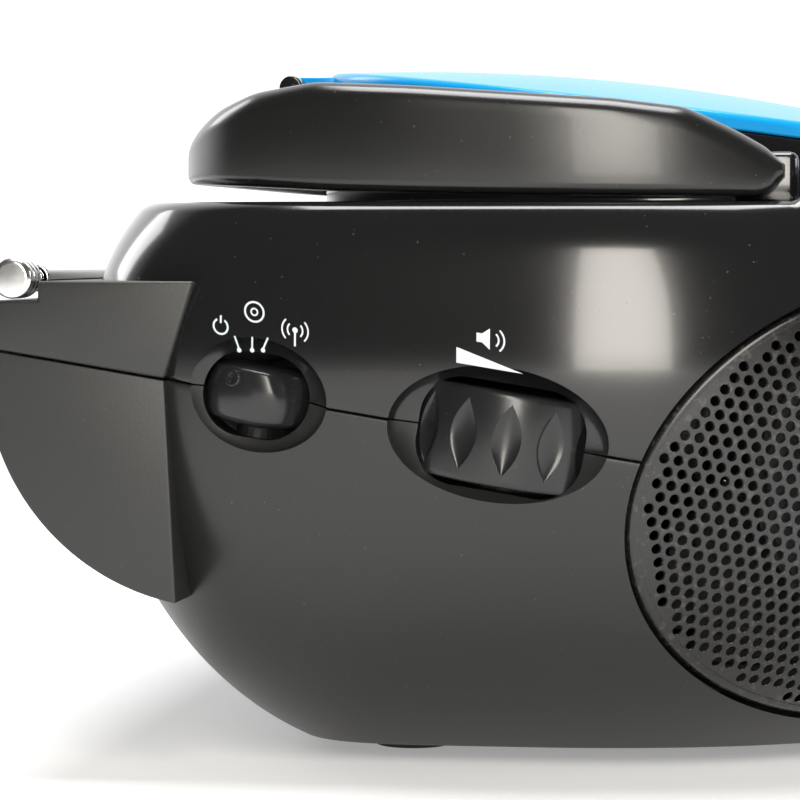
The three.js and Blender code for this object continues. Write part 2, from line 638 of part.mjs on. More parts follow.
const fork = box(elbowX - 2.6, elbowX + 6.5, antennaY - 3, antennaY + 3, antennaZ - 2.4, antennaZ + 2.4)
  .subtract(box(elbowX - 4, elbowX + 3.2, antennaY - 1.4, antennaY + 1.4, antennaZ - 4, antennaZ + 4))
  .add(rod(0.9, [elbowX, antennaY - 2, antennaZ], [elbowX, antennaY + 2, antennaZ], 12))
  .add(rod(2.2, [elbowX + 6, antennaY, antennaZ], [elbowX + 12, antennaY, antennaZ], 16));
const bracketX = [elbowX + 7.3, elbowX + 11.5];
const stepFloor = antennaZ - tipRadius;
const antennaBracket = box(...bracketX, antennaY - 3.9, antennaY + 3.9, stepFloor, antennaZ + 3.6)
  .subtract(rod(2.2 + gap, [elbowX + 5, antennaY, antennaZ], [elbowX + 14, antennaY, antennaZ], 16));
const tipEnd = -drumEnd - 0.4;
const antennaTip = rod(tipRadius, [tipEnd, antennaY, antennaZ], [tipEnd + 8.5, antennaY, antennaZ], 16)
  .add(rod(3.0, [tipEnd + 8, antennaY, antennaZ], [tipEnd + 10.5, antennaY, antennaZ], 16))
  .subtract(rod(0.5 + gap, [tipEnd + 7, antennaY, antennaZ], [tipEnd + 12, antennaY, antennaZ], 12));
const antennaCore = rod(0.5, [tipEnd + 7.4, antennaY, antennaZ], [elbowX - 15, antennaY, antennaZ], 12);

// ---------- mains inlet ----------
const inletDeep = inletFace - 9;
const inlet = box(inletX - inletHalf[0], inletX + inletHalf[0], inletDeep - 3, inletFace,
  inletZ - inletHalf[1], inletZ + inletHalf[1])
  .subtract(box(inletX - 9, inletX + 9, inletDeep, farY, inletZ - 4.6, inletZ + 4.6))
  .add(rod(1.2, [inletX - 4.4, inletDeep - 1, inletZ], [inletX - 4.4, inletFace - 1, inletZ], 12))
  .add(rod(1.2, [inletX + 4.4, inletDeep - 1, inletZ], [inletX + 4.4, inletFace - 1, inletZ], 12));

// ---------- the assembly ----------
const player = new THREE.Group();
player.name = 'portable_cd_player';
function place(name, body, material, parent = player) {
  const mesh = new THREE.Mesh(geometryOf(body), material);
  mesh.name = name;
  parent.add(mesh);
}
const driveGroup = new THREE.Group();
driveGroup.applyMatrix4(lidFrame);
player.add(driveGroup);

place('lower_case', lowerCase, satinBlack);
place('upper_case', upperCase, glossBlack);
place('drum_cap', drumCap, satinBlack);
place('front_panel', frontPanel, glossBlack);
place('dial_window', dialWindow, clearPlastic);
place('dial_scale', dialScale, scalePrint);
place('dial_pointer', dialPointer, pointerRed);
place('display_window', displayWindow, clearPlastic);
for (const [side, name] of [[-1, 'left'], [1, 'right']]) {
  const grille = skin(0.5, 1.9).intersect(speakerPrism(side, grilleHalfLength - 1.2, grilleHalfHeight - 1.2));
  place(`speaker_grille_${name}`, grille, steel);
  place(`speaker_frame_${name}`, speakerPlace(side, speakerFrame), steel);
  place(`speaker_cone_${name}`, speakerPlace(side, speakerCone), paper);
  place(`handle_pin_${name}`, handlePin(side), steel);
}
place('handle', handleSolid(), glossBlack);
place('lid_shell', lidShell, lidBlue);
place('lid_liner', lidLiner, innerBlack);
place('disc_clamper', discClamper, innerBlack);
place('cd_well', cdWell, innerBlack, driveGroup);
place('mech_chassis', chassis, steel, driveGroup);
place('sled_rail_front', sledRail(-railV), chrome, driveGroup);
place('sled_rail_rear', sledRail(railV), chrome, driveGroup);
place('sled_leadscrew', leadscrew, steel, driveGroup);
place('pickup_sled', pickupSled, innerBlack, driveGroup);
place('spindle_motor', spindleMotor, steel, driveGroup);
place('turntable', turntable, innerBlack, driveGroup);
place('battery_box', batteryBox, innerBlack);
place('battery_door', batteryDoor, satinBlack);
place('main_board', mainBoard, board);
place('button_board', buttonBoard, board);
place('transformer', transformer, steel);
place('ac_inlet', inlet, innerBlack);
place('volume_wheel', controlWheel(knobs[0], 8), satinBlack);
place('tuning_wheel', controlWheel(knobs[1], 8), satinBlack);
place('function_wheel', controlWheel(knobs[2], 4), satinBlack);
place('volume_pot', knobBase(knobs[0], volumeRadius * 0.44), steel);
place('tuning_capacitor', knobBase(knobs[1], volumeRadius * 0.5), steel);
place('function_switch', knobBase(knobs[2], functionRadius * 0.38), steel);
for (const [i, x] of buttonXs.entries()) {
  const top = deckZ(buttonY) + 1.6;
  const names = ['button_stop', 'button_back', 'button_play', 'button_skip', 'button_program'];
  const cap = box(x - buttonWidth / 2, x + buttonWidth / 2, buttonY - buttonDepth / 2,
    buttonY + buttonDepth / 2, 99.6, top);
  place(names[i], cap, satinBlack);
}
for (const [i, [x, y]] of footSpots.entries()) {
  const pad = rod(footRadius, [x, y, 0], [x, y, footHeight - gap], 14)
    .add(rod(stemRadius, [x, y, 1], [x, y, footHeight + wall + 1], 8));
  place(`rubber_foot_${i + 1}`, pad, rubber);
}
for (const [i, [x, y]] of screwSpots.entries()) {
  const top = partingZ + partingSlope * y + 12;
  const screw = rod(4, [x, y, screwHeadZ - 3], [x, y, screwHeadZ - gap], 10)
    .add(rod(screwRadius, [x, y, screwHeadZ - 1], [x, y, top], 8));
  place(`case_screw_${i + 1}`, screw, steel);
}
place('antenna_bracket', antennaBracket, innerBlack);
place('antenna_elbow', fork, chrome);
place('antenna_section_1', antennaFirst, chrome);
place('antenna_section_2', antennaTube(1), chrome);
place('antenna_section_3', antennaTube(2), chrome);
place('antenna_section_4', antennaCore, chrome);
place('antenna_tip', antennaTip, chrome);

export default player;
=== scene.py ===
# %% [markdown]
# # A portable disc player in Blender
# This notebook dresses a packed assembly: the frame already holds every piece at its real size, with its joints.
# Here the pieces that show get a fine surface, each finish is made from nodes, and each new piece rides on
# the body that carries it.

# %% Frame
import math
import bpy
import numpy as np
from mathutils import Matrix, Vector
from mathutils.bvhtree import BVHTree


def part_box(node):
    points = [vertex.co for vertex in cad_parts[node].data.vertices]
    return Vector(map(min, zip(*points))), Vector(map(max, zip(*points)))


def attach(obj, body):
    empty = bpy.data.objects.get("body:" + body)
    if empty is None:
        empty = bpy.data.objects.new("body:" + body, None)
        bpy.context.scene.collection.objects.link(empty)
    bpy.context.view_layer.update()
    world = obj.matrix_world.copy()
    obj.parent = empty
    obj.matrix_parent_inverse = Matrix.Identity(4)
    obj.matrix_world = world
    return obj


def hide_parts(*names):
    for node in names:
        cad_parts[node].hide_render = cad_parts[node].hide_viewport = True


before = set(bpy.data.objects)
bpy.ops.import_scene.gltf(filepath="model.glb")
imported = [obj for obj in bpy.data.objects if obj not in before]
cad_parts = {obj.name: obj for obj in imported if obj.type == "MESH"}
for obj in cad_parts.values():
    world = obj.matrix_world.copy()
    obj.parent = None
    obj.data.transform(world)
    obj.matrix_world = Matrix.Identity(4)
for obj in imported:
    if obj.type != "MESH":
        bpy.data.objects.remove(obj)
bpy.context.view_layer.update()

MM = 0.001

# %% [markdown]
# ## Camera and light
# The view is close to the left side, with a long lens, so the shapes stay nearly parallel. The studio is a
# pale room of large soft lights: glossy black plastic shows only what it mirrors, so the places of the
# panels matter more than their strength.

# %% Camera
camera_data = bpy.data.cameras.new("camera")
camera_data.lens = 166
camera_data.sensor_width = 36
camera_data.clip_end = 20
camera = bpy.data.objects.new("camera", camera_data)
bpy.context.collection.objects.link(camera)
camera.location = Vector((-768.7, -59.9, 95.6)) * MM
heading = math.radians(8.12)
pitch = math.radians(2.33)
look = Vector((math.cos(heading) * math.cos(pitch), math.sin(heading) * math.cos(pitch), -math.sin(pitch)))
camera.rotation_euler = look.to_track_quat("-Z", "Y").to_euler()
bpy.context.scene.camera = camera
bpy.context.scene.view_settings.view_transform = "Standard"
print("camera looks along", tuple(round(c, 3) for c in look))

# %% [markdown]
# The floor is a plain pale sheet. The room's brightness is a ramp along X: dark behind the camera, white
# behind the player. Four area lamps do the rest, and the tall narrow one makes the streak on the side wall.

# %% Floor, sky and soft lights
FLOOR_SIZE = 6.0
bpy.ops.mesh.primitive_plane_add(size=FLOOR_SIZE, location=(0, 0, 0))
floor = bpy.context.object
floor.name = "studio_floor"

world = bpy.data.worlds.new("pale_room")
bpy.context.scene.world = world
world.use_nodes = True
room = world.node_tree
direction = room.nodes.new("ShaderNodeTexCoord")
axes = room.nodes.new("ShaderNodeSeparateXYZ")
ramp = room.nodes.new("ShaderNodeValToRGB")
lift = room.nodes.new("ShaderNodeMapRange")
lift.inputs["From Min"].default_value = -1.0
room.links.new(direction.outputs["Generated"], axes.inputs["Vector"])
room.links.new(axes.outputs["X"], lift.inputs["Value"])
room.links.new(lift.outputs["Result"], ramp.inputs["Fac"])
ramp.color_ramp.elements[0].position = 0.60
ramp.color_ramp.elements[0].color = (0.05, 0.05, 0.048, 1.0)
ramp.color_ramp.elements[1].position = 0.80
ramp.color_ramp.elements[1].color = (1.0, 1.0, 1.0, 1.0)
room.links.new(ramp.outputs["Color"], room.nodes["Background"].inputs["Color"])
room.nodes["Background"].inputs["Strength"].default_value = 1.25


def soft_light(name, place, aim, size, power, tint=(1, 1, 1)):
    data = bpy.data.lights.new(name, "AREA")
    data.shape = "RECTANGLE"
    data.size, data.size_y = size
    data.energy = power
    data.color = tint
    lamp = bpy.data.objects.new(name, data)
    bpy.context.collection.objects.link(lamp)
    lamp.location = place
    lamp.rotation_euler = (Vector(aim) - Vector(place)).to_track_quat("-Z", "Y").to_euler()
    return lamp


BEIGE = (1.0, 0.95, 0.87)
soft_light("key_panel", (-1.9, -0.27, 1.2), (-0.12, -0.07, 1.2), (0.46, 2.4), 48.0, BEIGE)
soft_light("top_panel", (0.15, 0.0, 1.5), (0.1, 0, 0), (0.8, 0.8), 22.0)
soft_light("front_panel_light", (0.1, -1.7, 0.6), (0, -0.08, 0.08), (0.9, 0.5), 9.0)
soft_light("rear_panel", (1.0, 1.5, 0.9), (0, 0.1, 0.08), (0.6, 0.8), 7.0)

# %% [markdown]
# ## Shader arithmetic
# A node graph reads best as sums and products. A small class wraps one socket and overloads the operators,
# so `1 - mask * 0.3` adds its own Math nodes. Every other node comes from one method that takes the node's
# type, its settings and its inputs.

# %% Sockets and finishes
class Wire:
    """One value on its way through a material."""

    def __init__(self, finish, socket):
        self.finish = finish
        self.socket = socket

    def _math(self, operation, first, second=0.0):
        return self.finish.node("ShaderNodeMath", {"operation": operation}, {0: first, 1: second})

    def __add__(self, other):
        return self._math("ADD", self, other)

    __radd__ = __add__

    def __mul__(self, other):
        return self._math("MULTIPLY", self, other)

    __rmul__ = __mul__

    def __sub__(self, other):
        return self._math("SUBTRACT", self, other)

    def __rsub__(self, other):
        return self._math("SUBTRACT", other, self)

    def __pow__(self, power):
        return self._math("POWER", self, power)

    def over(self, limit):
        return self._math("GREATER_THAN", self, limit)


class Finish:
    """A material with one glossy shader, whose nodes are added one by one."""

    def __init__(self, name, **constants):
        self.material = bpy.data.materials.new(name)
        self.material.use_nodes = True
        self.tree = self.material.node_tree
        self.shader = self.tree.nodes["Principled BSDF"]
        for socket, value in constants.items():
            self.shader.inputs[socket.replace("_", " ")].default_value = value

    def node(self, kind, settings=None, inputs=None, output=0):
        made = self.tree.nodes.new(kind)
        for key, value in (settings or {}).items():
            if key == "stops":
                for stop, (position, colour) in zip(made.color_ramp.elements, value):
                    stop.position = position
                    stop.color = colour
            else:
                setattr(made, key, value)
        for key, value in (inputs or {}).items():
            if isinstance(value, Wire):
                self.tree.links.new(value.socket, made.inputs[key])
            else:
                made.inputs[key].default_value = value
        return Wire(self, made.outputs[output])

    def place(self):
        return self.node("ShaderNodeTexCoord", output="Object")

    def noise(self, scale, detail=3.0, roughness=0.5, along=None):
        where = self.place() if along is None else self.node(
            "ShaderNodeMapping", None, {"Vector": self.place(), "Scale": along})
        return self.node("ShaderNodeTexNoise", None,
                         {"Vector": where, "Scale": scale, "Detail": detail, "Roughness": roughness})

    def mix(self, share, first, second):
        return self.node("ShaderNodeMix", {"data_type": "RGBA"},
                         {"Factor": share, "A": first, "B": second}, output="Result")

    def feed(self, **wires):
        for socket, wire in wires.items():
            self.tree.links.new(wire.socket, self.shader.inputs[socket.replace("_", " ")])
        return self

    def bump(self, height, strength, distance):
        return self.node("ShaderNodeBump", None,
                         {"Height": height, "Strength": strength, "Distance": distance})


def rgb(r, g, b):
    return (r, g, b, 1.0)


print("operators on a wire:", [name for name in vars(Wire) if name.strip("_") in ("add", "mul", "sub", "pow")])


# %% [markdown]
# ## Moulded plastics
# High-gloss black is a polished mould's skin: nearly flat, with a faint long-wave ripple and a little dust.
# The lower case comes from a spark-eroded mould, so it has a fine matt grain. Each gets its own small graph.

# %% Plastic finishes
def moulded(name, colour, roughness, grain, grain_scale, dust, coat=0.0):
    """Moulded plastic: cloudy colour, fine grain, sparse dust and faint smears."""
    finish = Finish(name, Coat_Roughness=0.06, Specular_IOR_Level=0.5, IOR=1.5)
    finish.shader.inputs["Coat Weight"].default_value = coat
    cloud = finish.noise(38.0, 4.0)
    fine = finish.noise(grain_scale, 2.0)
    speck = finish.noise(1500.0, 1.0)
    specks = speck.over(0.79) * dust
    tone = finish.mix(cloud * 0.5, rgb(*colour), rgb(*[c * 1.25 + 0.0015 for c in colour]))
    dusty = finish.mix(specks, tone, rgb(0.11, 0.11, 0.10))
    smear = finish.noise(16.0, 5.0, 0.6, along=(1.0, 1.0, 2.4))
    rough = roughness * 0.8 + smear * (roughness * 0.4) + specks * 0.25
    relief = finish.bump(fine, grain, 0.0001)
    return finish.feed(Base_Color=dusty, Roughness=rough, Normal=relief).material


gloss_black = moulded("gloss_black_plastic", (0.0075, 0.0078, 0.0082), 0.15, 0.035, 420.0, 0.6, 0.25)
satin_black = moulded("satin_black_plastic", (0.0135, 0.0142, 0.0138), 0.36, 0.16, 1500.0, 0.7)
grip_black = moulded("handle_black_plastic", (0.0085, 0.0088, 0.0088), 0.24, 0.07, 1300.0, 0.6, 0.1)
knob_black = moulded("knob_black_plastic", (0.010, 0.011, 0.0115), 0.26, 0.07, 1100.0, 0.4, 0.1)
drum_grey = moulded("drum_black_plastic", (0.019, 0.020, 0.0195), 0.40, 0.16, 1500.0, 0.6)
inner_black = moulded("inner_black_plastic", (0.016, 0.016, 0.016), 0.55, 0.2, 900.0, 0.3)
lid_blue = moulded("blue_gloss_plastic", (0.010, 0.34, 0.80), 0.22, 0.02, 300.0, 0.2, 0.0)
lid_blue.node_tree.nodes["Principled BSDF"].inputs["Specular IOR Level"].default_value = 0.22


def metal(name, colour, roughness, brush, along):
    """Bare or plated metal with fine brushing, stretched along one axis."""
    finish = Finish(name, Metallic=1.0)
    streak = finish.noise(brush, 3.0, 0.6, along=along)
    tone = finish.mix(streak, rgb(*[c * 0.86 for c in colour]), rgb(*colour))
    rough = roughness * 0.7 + streak * (roughness * 0.6)
    return finish.feed(Base_Color=tone, Roughness=rough, Normal=finish.bump(streak, 0.05, 0.0001)).material


chrome = metal("polished_chrome", (0.86, 0.86, 0.85), 0.10, 260.0, (4.0, 1.0, 1.0))
steel = metal("plated_steel", (0.62, 0.61, 0.58), 0.32, 180.0, (1.0, 6.0, 1.0))
cap_metal = metal("antenna_cap_plating", (0.94, 0.94, 0.93), 0.22, 240.0, (1.0, 1.0, 1.0))


def enamel(name):
    """Dark enamel with small worn spots."""
    finish = Finish(name, Metallic=0.0, IOR=1.6)
    wear = finish.noise(700.0, 3.0)
    tone = finish.mix(wear.over(0.62) * 0.5, rgb(0.011, 0.011, 0.0115), rgb(0.07, 0.066, 0.06))
    rough = 0.2 + wear * 0.18
    return finish.feed(Base_Color=tone, Roughness=rough, Normal=finish.bump(wear, 0.1, 0.0001)).material


grille_enamel = enamel("black_enamelled_steel")


def simple(name, colour, roughness, scale, depth, **constants):
    """A plain finish with a fine grain in its colour, its gloss and its relief."""
    finish = Finish(name, **constants)
    grain = finish.noise(scale, 4.0)
    tone = finish.mix(grain, rgb(*[c * 0.75 for c in colour]), rgb(*colour))
    rough = roughness * 0.85 + grain * (roughness * 0.3)
    return finish.feed(Base_Color=tone, Roughness=rough, Normal=finish.bump(grain, depth, 0.0002)).material


rubber = simple("foot_rubber", (0.02, 0.02, 0.02), 0.85, 900.0, 0.3)
board_green = simple("circuit_board", (0.02, 0.15, 0.06), 0.5, 300.0, 0.1)
cone_paper = simple("pressed_paper_cone", (0.03, 0.03, 0.032), 0.9, 1400.0, 0.6)
print_white = simple("printed_white_ink", (0.72, 0.78, 0.84), 0.45, 2000.0, 0.05)
scale_cream = simple("dial_scale_card", (0.6, 0.6, 0.55), 0.5, 600.0, 0.05)
pointer_red = simple("pointer_red", (0.6, 0.02, 0.01), 0.35, 600.0, 0.05)
floor_pale = simple("studio_floor_pale", (0.93, 0.93, 0.93), 0.75, 3.0, 0.02, Emission_Color=rgb(1, 1, 1),
                    Emission_Strength=0.3)
clear_window = simple("clear_window", (0.62, 0.66, 0.68), 0.06, 40.0, 0.01, Alpha=0.3)
lens_glass = simple("pickup_lens", (0.12, 0.05, 0.25), 0.05, 40.0, 0.01)
floor.data.materials.append(floor_pale)
print("finishes:", len(bpy.data.materials))

# %% [markdown]
# ## The case as a formula
# The plan outline is a soft rectangle: squarer at the rear, rounder at the front. Going down, the outline is
# tucked in along a quarter ellipse; going up, it is tucked in a little towards the rim. With the outline as a
# function, every panel, grille and printed mark can be laid on the same surface.

# %% Case outline
HALF_WIDTH, FRONT, REAR, WIDEST = 125.0, -108.6, 99.0, 15.0
EQUATOR, BELLY_TUCK, BELLY_DEPTH = 75.0, 60.0, 78.0
SHOULDER_TUCK, BASE_Z, WALL = 10.0, 3.0, 2.5
LEDGE_Z, STEP_Y = 104.3, -36.5
PARTING_Z, PARTING_SLOPE = 60.0, 0.165
REAR_POWER, FRONT_POWER = 5.0, 2.3
LID_R, LID_Y, LID_Z, LID_SLOPE, LID_DOME, LID_RIM = 68.0, -4.0, 124.3, 0.122, 5.65, 3.0
SEAM = 0.15
fine = 1
tilt = math.atan(PARTING_SLOPE)


def tuck(z):
    """How far the outline is drawn in at a height."""
    z = np.asarray(z, float)
    u = np.clip((EQUATOR - z) / BELLY_DEPTH, 0, 1)
    below = BELLY_TUCK * (1 - np.sqrt(1 - u * u))
    above = SHOULDER_TUCK * (np.clip(z - EQUATOR, 0, None) / 30) ** 2.5
    return np.where(z < EQUATOR, below, above)


def plan(angle, inset):
    """The outline's x and y at an angle, drawn in by an inset."""
    c, s = np.cos(angle), np.sin(angle)
    rear = s > 0
    power = 2 / np.where(rear, REAR_POWER, FRONT_POWER)
    deep = np.where(rear, REAR - WIDEST, WIDEST - FRONT) - inset
    x = (HALF_WIDTH - inset) * np.sign(c) * np.abs(c) ** power
    y = WIDEST + deep * np.sign(s) * np.abs(s) ** power
    return x, y


def case_point(angle, z, inset=0.0):
    x, y = plan(angle, tuck(z) + inset)
    return np.stack([x, y, z + 0 * x], -1)


def deck_z(y):
    return LID_Z + LID_SLOPE * y - 7.4


def top_z(y):
    t = np.clip((STEP_Y - y) / 6.5, 0, 1)
    t = t * t * (3 - 2 * t)
    return LEDGE_Z + (deck_z(y) - LEDGE_Z) * t


def side_x(y, z):
    """Distance of the case's side from the middle plane."""
    inset = tuck(z)
    rear = np.asarray(y) > WIDEST
    deep = np.where(rear, REAR - WIDEST, WIDEST - FRONT) - inset
    share = np.clip(np.abs((y - WIDEST) / deep), 0, 1)
    n = np.where(rear, REAR_POWER, FRONT_POWER)
    return (HALF_WIDTH - inset) * (1 - share ** n) ** (1 / n)


def even_angles(count):
    """Angles whose outline points are evenly spaced along the equator."""
    dense = np.linspace(0, 2 * np.pi, 20001)
    points = case_point(dense, EQUATOR + 0 * dense)[:, :2]
    run = np.concatenate([[0], np.cumsum(np.linalg.norm(np.diff(points, axis=0), axis=1))])
    return np.interp(np.linspace(0, run[-1], count, endpoint=False), run, dense)


print("side at the volume wheel, mm:", round(float(side_x(14.5, 62.4)), 2))


# %% [markdown]
# ## From numbers to meshes
# A panel is a grid of points. `sheet` turns rows of points into quads, and `carve` subtracts cutters. A cut
# through a smooth glossy wall disturbs its shading, so after a cut the old, undisturbed normals are laid back
# over the faces that still lie on the old surface.

# %% Mesh helpers
def new_piece(name, points, faces, material, smooth=True):
    mesh = bpy.data.meshes.new(name)
    mesh.from_pydata((np.asarray(points, float) * MM).tolist(), [], [list(map(int, f)) for f in faces])
    mesh.materials.append(material)
    piece = bpy.data.objects.new(name, mesh)
    bpy.context.collection.objects.link(piece)
    mesh.polygons.foreach_set("use_smooth", [smooth] * len(mesh.polygons))
    mesh.update()
    return piece


def sheet(name, rows, material, flip=False, closed=False):
    """A mesh from rows of points, each row a ring. Closed joins the last ring to the first."""
    rows = np.asarray(rows, float)
    count, steps = rows.shape[:2]
    index = np.arange(count * steps).reshape(count, steps)
    if closed:
        index = np.concatenate([index, index[:1]])
    right = np.roll(index, -1, axis=1)
    quads = np.stack([index[:-1], right[:-1], right[1:], index[1:]], -1).reshape(-1, 4)
    if flip:
        quads = quads[:, ::-1]
    return new_piece(name, rows.reshape(-1, 3), quads, material)


def apply_modifiers(piece):
    bpy.context.view_layer.update()
    seen = piece.evaluated_get(bpy.context.evaluated_depsgraph_get())
    mesh = bpy.data.meshes.new_from_object(seen)
    piece.modifiers.clear()
    old = piece.data
    piece.data = mesh
    bpy.data.meshes.remove(old)


def carve(piece, cutters, operation="DIFFERENCE"):
    for cutter in cutters:
        cut = piece.modifiers.new("cut", "BOOLEAN")
        cut.object = cutter
        cut.operation = operation
        cut.solver = "EXACT"
    apply_modifiers(piece)
    for cutter in cutters:
        bpy.data.objects.remove(cutter)


def crisp(piece, degrees=32):
    """Marks edges sharper than the angle, so that smooth shading stops there."""
    mesh = piece.data
    mesh.polygons.foreach_set("use_smooth", [True] * len(mesh.polygons))
    mesh.set_sharp_from_angle(angle=math.radians(degrees))


def restore_normals(piece, points, faces, normals):
    """Lays the smooth normals of an uncut surface back over what is left of it."""
    tree = BVHTree.FromPolygons((points * MM).tolist(), faces)
    mesh = piece.data
    custom = [(0.0, 0.0, 0.0)] * len(mesh.loops)
    fixed = 0
    own = [tuple(n.vector) for n in mesh.corner_normals]
    for polygon in mesh.polygons:
        for loop in polygon.loop_indices:
            custom[loop] = own[loop]
        spot, face_normal, face, distance = tree.find_nearest(polygon.center)
        if face is None or distance > 0.0003 or face_normal.dot(polygon.normal) < 0.97:
            continue
        corners = faces[face]
        corner_points = points[list(corners)] * MM
        for loop in polygon.loop_indices:
            vertex = np.array(mesh.vertices[mesh.loops[loop].vertex_index].co)
            near = 1 / (np.linalg.norm(corner_points - vertex, axis=1) + 1e-7)
            blended = (normals[list(corners)] * near[:, None]).sum(0)
            custom[loop] = tuple(blended / np.linalg.norm(blended))
        fixed += 1
    mesh.normals_split_custom_set(custom)
    print(piece.name, "faces kept smooth:", fixed, "of", len(mesh.polygons))


def surface_data(piece):
    mesh = piece.data
    points = np.array([v.co for v in mesh.vertices]) / MM
    faces = [tuple(p.vertices) for p in mesh.polygons]
    normals = np.array([v.normal for v in mesh.vertices])
    return points, faces, normals


def settle(piece, body, slot, *replaced):
    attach(piece, body)
    if replaced:
        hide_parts(*replaced)
    return piece


def turn(name, profile, axis_point, axis, material, sides=64):
    """A lathe piece: profile of (radius, distance) about an axis through a point."""
    axis = Vector(axis).normalized()
    spin = Vector((0, 0, 1)).rotation_difference(axis).to_matrix()
    angles = np.linspace(0, 2 * np.pi, sides, endpoint=False)
    rows = []
    for radius, height in profile:
        ring = np.stack([radius * np.cos(angles), radius * np.sin(angles), height + 0 * angles], -1)
        rows.append(ring @ np.array(spin).T + np.array(axis_point))
    piece = sheet(name, rows, material)
    crisp(piece, 30)
    return piece


def rounded(corners, radius, steps=4):
    """Rounds the inner corners of an open (radius, height) profile."""
    done = [corners[0]]
    for before, corner, after in zip(corners, corners[1:], corners[2:]):
        b, c, a = map(np.array, (before, corner, after))
        r = min(radius, np.linalg.norm(b - c) / 2.1, np.linalg.norm(a - c) / 2.1)
        p = c + (b - c) / np.linalg.norm(b - c) * r
        q = c + (a - c) / np.linalg.norm(a - c) * r
        for i in range(steps + 1):
            t = i / steps
            done.append(tuple((1 - t) ** 2 * p + 2 * t * (1 - t) * c + t * t * q))
    done.append(corners[-1])
    return done


def edged(piece, width, segments, degrees=40, limit=None):
    """Rounds the edges of a block-like piece, and shades it with crisp borders."""
    bevel = piece.modifiers.new("edge", "BEVEL")
    bevel.width = width * MM
    bevel.segments = segments
    if limit:
        bevel.limit_method = "ANGLE"
        bevel.angle_limit = math.radians(limit)
    apply_modifiers(piece)
    crisp(piece, degrees)


print("a square profile rounded to", len(rounded([(0, 0), (1, 0), (1, 1), (0, 1)], 0.2)), "points")


# %% [markdown]
# ## Cutters
# The control wheels show through dished ovals in the side wall, the speakers through tall ovals that look
# forwards and outwards. A cutter is a closed body in the shape of what is taken away.

# %% Cutter shapes
WHEEL_Y, KNOB_Y = 14.5, 58.5
WHEEL_DISH, WHEEL_SLOT = (20.0, 12.7, 5.5), (30.0, 19.4, 7.6)
KNOB_DISH, KNOB_SLOT = (13.5, 10.3, 5.0), (19.4, 15.4, 7.6)
knob_spots = [(-1, WHEEL_Y, WHEEL_DISH, WHEEL_SLOT), (1, WHEEL_Y, WHEEL_DISH, WHEEL_SLOT),
              (-1, KNOB_Y, KNOB_DISH, KNOB_SLOT)]
tilted = Matrix.Rotation(tilt, 4, "X")


def parting_at(y):
    return PARTING_Z + PARTING_SLOPE * y


def dish_cutter(side, y, dish):
    bpy.ops.mesh.primitive_uv_sphere_add(segments=160, ring_count=80, radius=1)
    ball = bpy.context.object
    length, height, depth = dish
    z = parting_at(y)
    place = Matrix.Translation(Vector((side * float(side_x(y, z) + 0.2), y, z)) * MM)
    stretch = Matrix.Diagonal(Vector((depth, length, height, 1000)) * MM)
    ball.data.transform(place @ tilted @ stretch)
    return ball


def slot_outline(length, height, corner, steps=14):
    points = []
    for cx, cy, start in ((1, -1, -0.5), (1, 1, 0.0), (-1, 1, 0.5), (-1, -1, 1.0)):
        for i in range(steps + 1):
            angle = math.pi * (start + 0.5 * i / steps)
            points.append((cx * (length / 2 - corner) + corner * math.cos(angle),
                           cy * (height / 2 - corner) + corner * math.sin(angle)))
    return points


def prism(name, outline, low, high, place, material=inner_black):
    """A closed prism: the outline in the local XY plane, from low to high along local Z."""
    count = len(outline)
    points = [(x, y, low) for x, y in outline] + [(x, y, high) for x, y in outline]
    faces = [[i, (i + 1) % count, count + (i + 1) % count, count + i] for i in range(count)]
    faces += [list(range(count))[::-1], list(range(count, 2 * count))]
    piece = new_piece(name, points, faces, material, smooth=False)
    piece.data.transform(Matrix.Scale(1 / MM, 4))
    piece.data.transform(place)
    piece.data.transform(Matrix.Scale(MM, 4))
    return piece


along_x = Matrix(((0, 0, 1, 0), (1, 0, 0, 0), (0, 1, 0, 0), (0, 0, 0, 1)))


def slot_cutter(side, y, size):
    z = parting_at(y)
    place = Matrix.Translation(Vector((side * float(side_x(y, z)), y, z))) @ tilted @ along_x
    return prism("slot", slot_outline(*size), -14, 14, place)


SPEAKER_TURN = math.radians(37.2)
SPEAKER_AT = (103.0, -66.0, 50.0)
SPEAKER_OVAL = (57.0, 42.0)


def speaker_cutter(side):
    out = Vector((side * math.cos(SPEAKER_TURN), -math.sin(SPEAKER_TURN), 0))
    across = Vector((0, 0, 1)).cross(out)
    place = Matrix((across, (0, 0, 1), out)).transposed().to_4x4()
    place.translation = Vector((side * SPEAKER_AT[0], SPEAKER_AT[1], SPEAKER_AT[2]))
    angles = np.linspace(0, 2 * np.pi, 240, endpoint=False)
    oval = [(SPEAKER_OVAL[0] * math.cos(a), SPEAKER_OVAL[1] * math.sin(a)) for a in angles]
    return prism("speaker_hole", oval, -45, 25, place)


def block(x0, x1, y0, y1, z0, z1):
    outline = [(x0, y0), (x1, y0), (x1, y1), (x0, y1)]
    return prism("block", outline, z0, z1, Matrix.Identity(4))


PANEL = (47.0, 26.0, 97.0)
DOOR = (80.0, 9.0, 31.0)


def case_cutters(upper):
    cutters = [dish_cutter(s, y, dish) for s, y, dish, size in knob_spots]
    cutters += [slot_cutter(s, y, size) for s, y, dish, size in knob_spots]
    cutters += [speaker_cutter(side) for side in (-1, 1)]
    cutters.append(block(-PANEL[0] - 0.3, PANEL[0] + 0.3, -130, -60, PANEL[1] - 0.3, PANEL[2] + 0.3))
    if not upper:
        cutters.append(block(-DOOR[0], DOOR[0], 45, 130, DOOR[1], DOOR[2]))
    return cutters


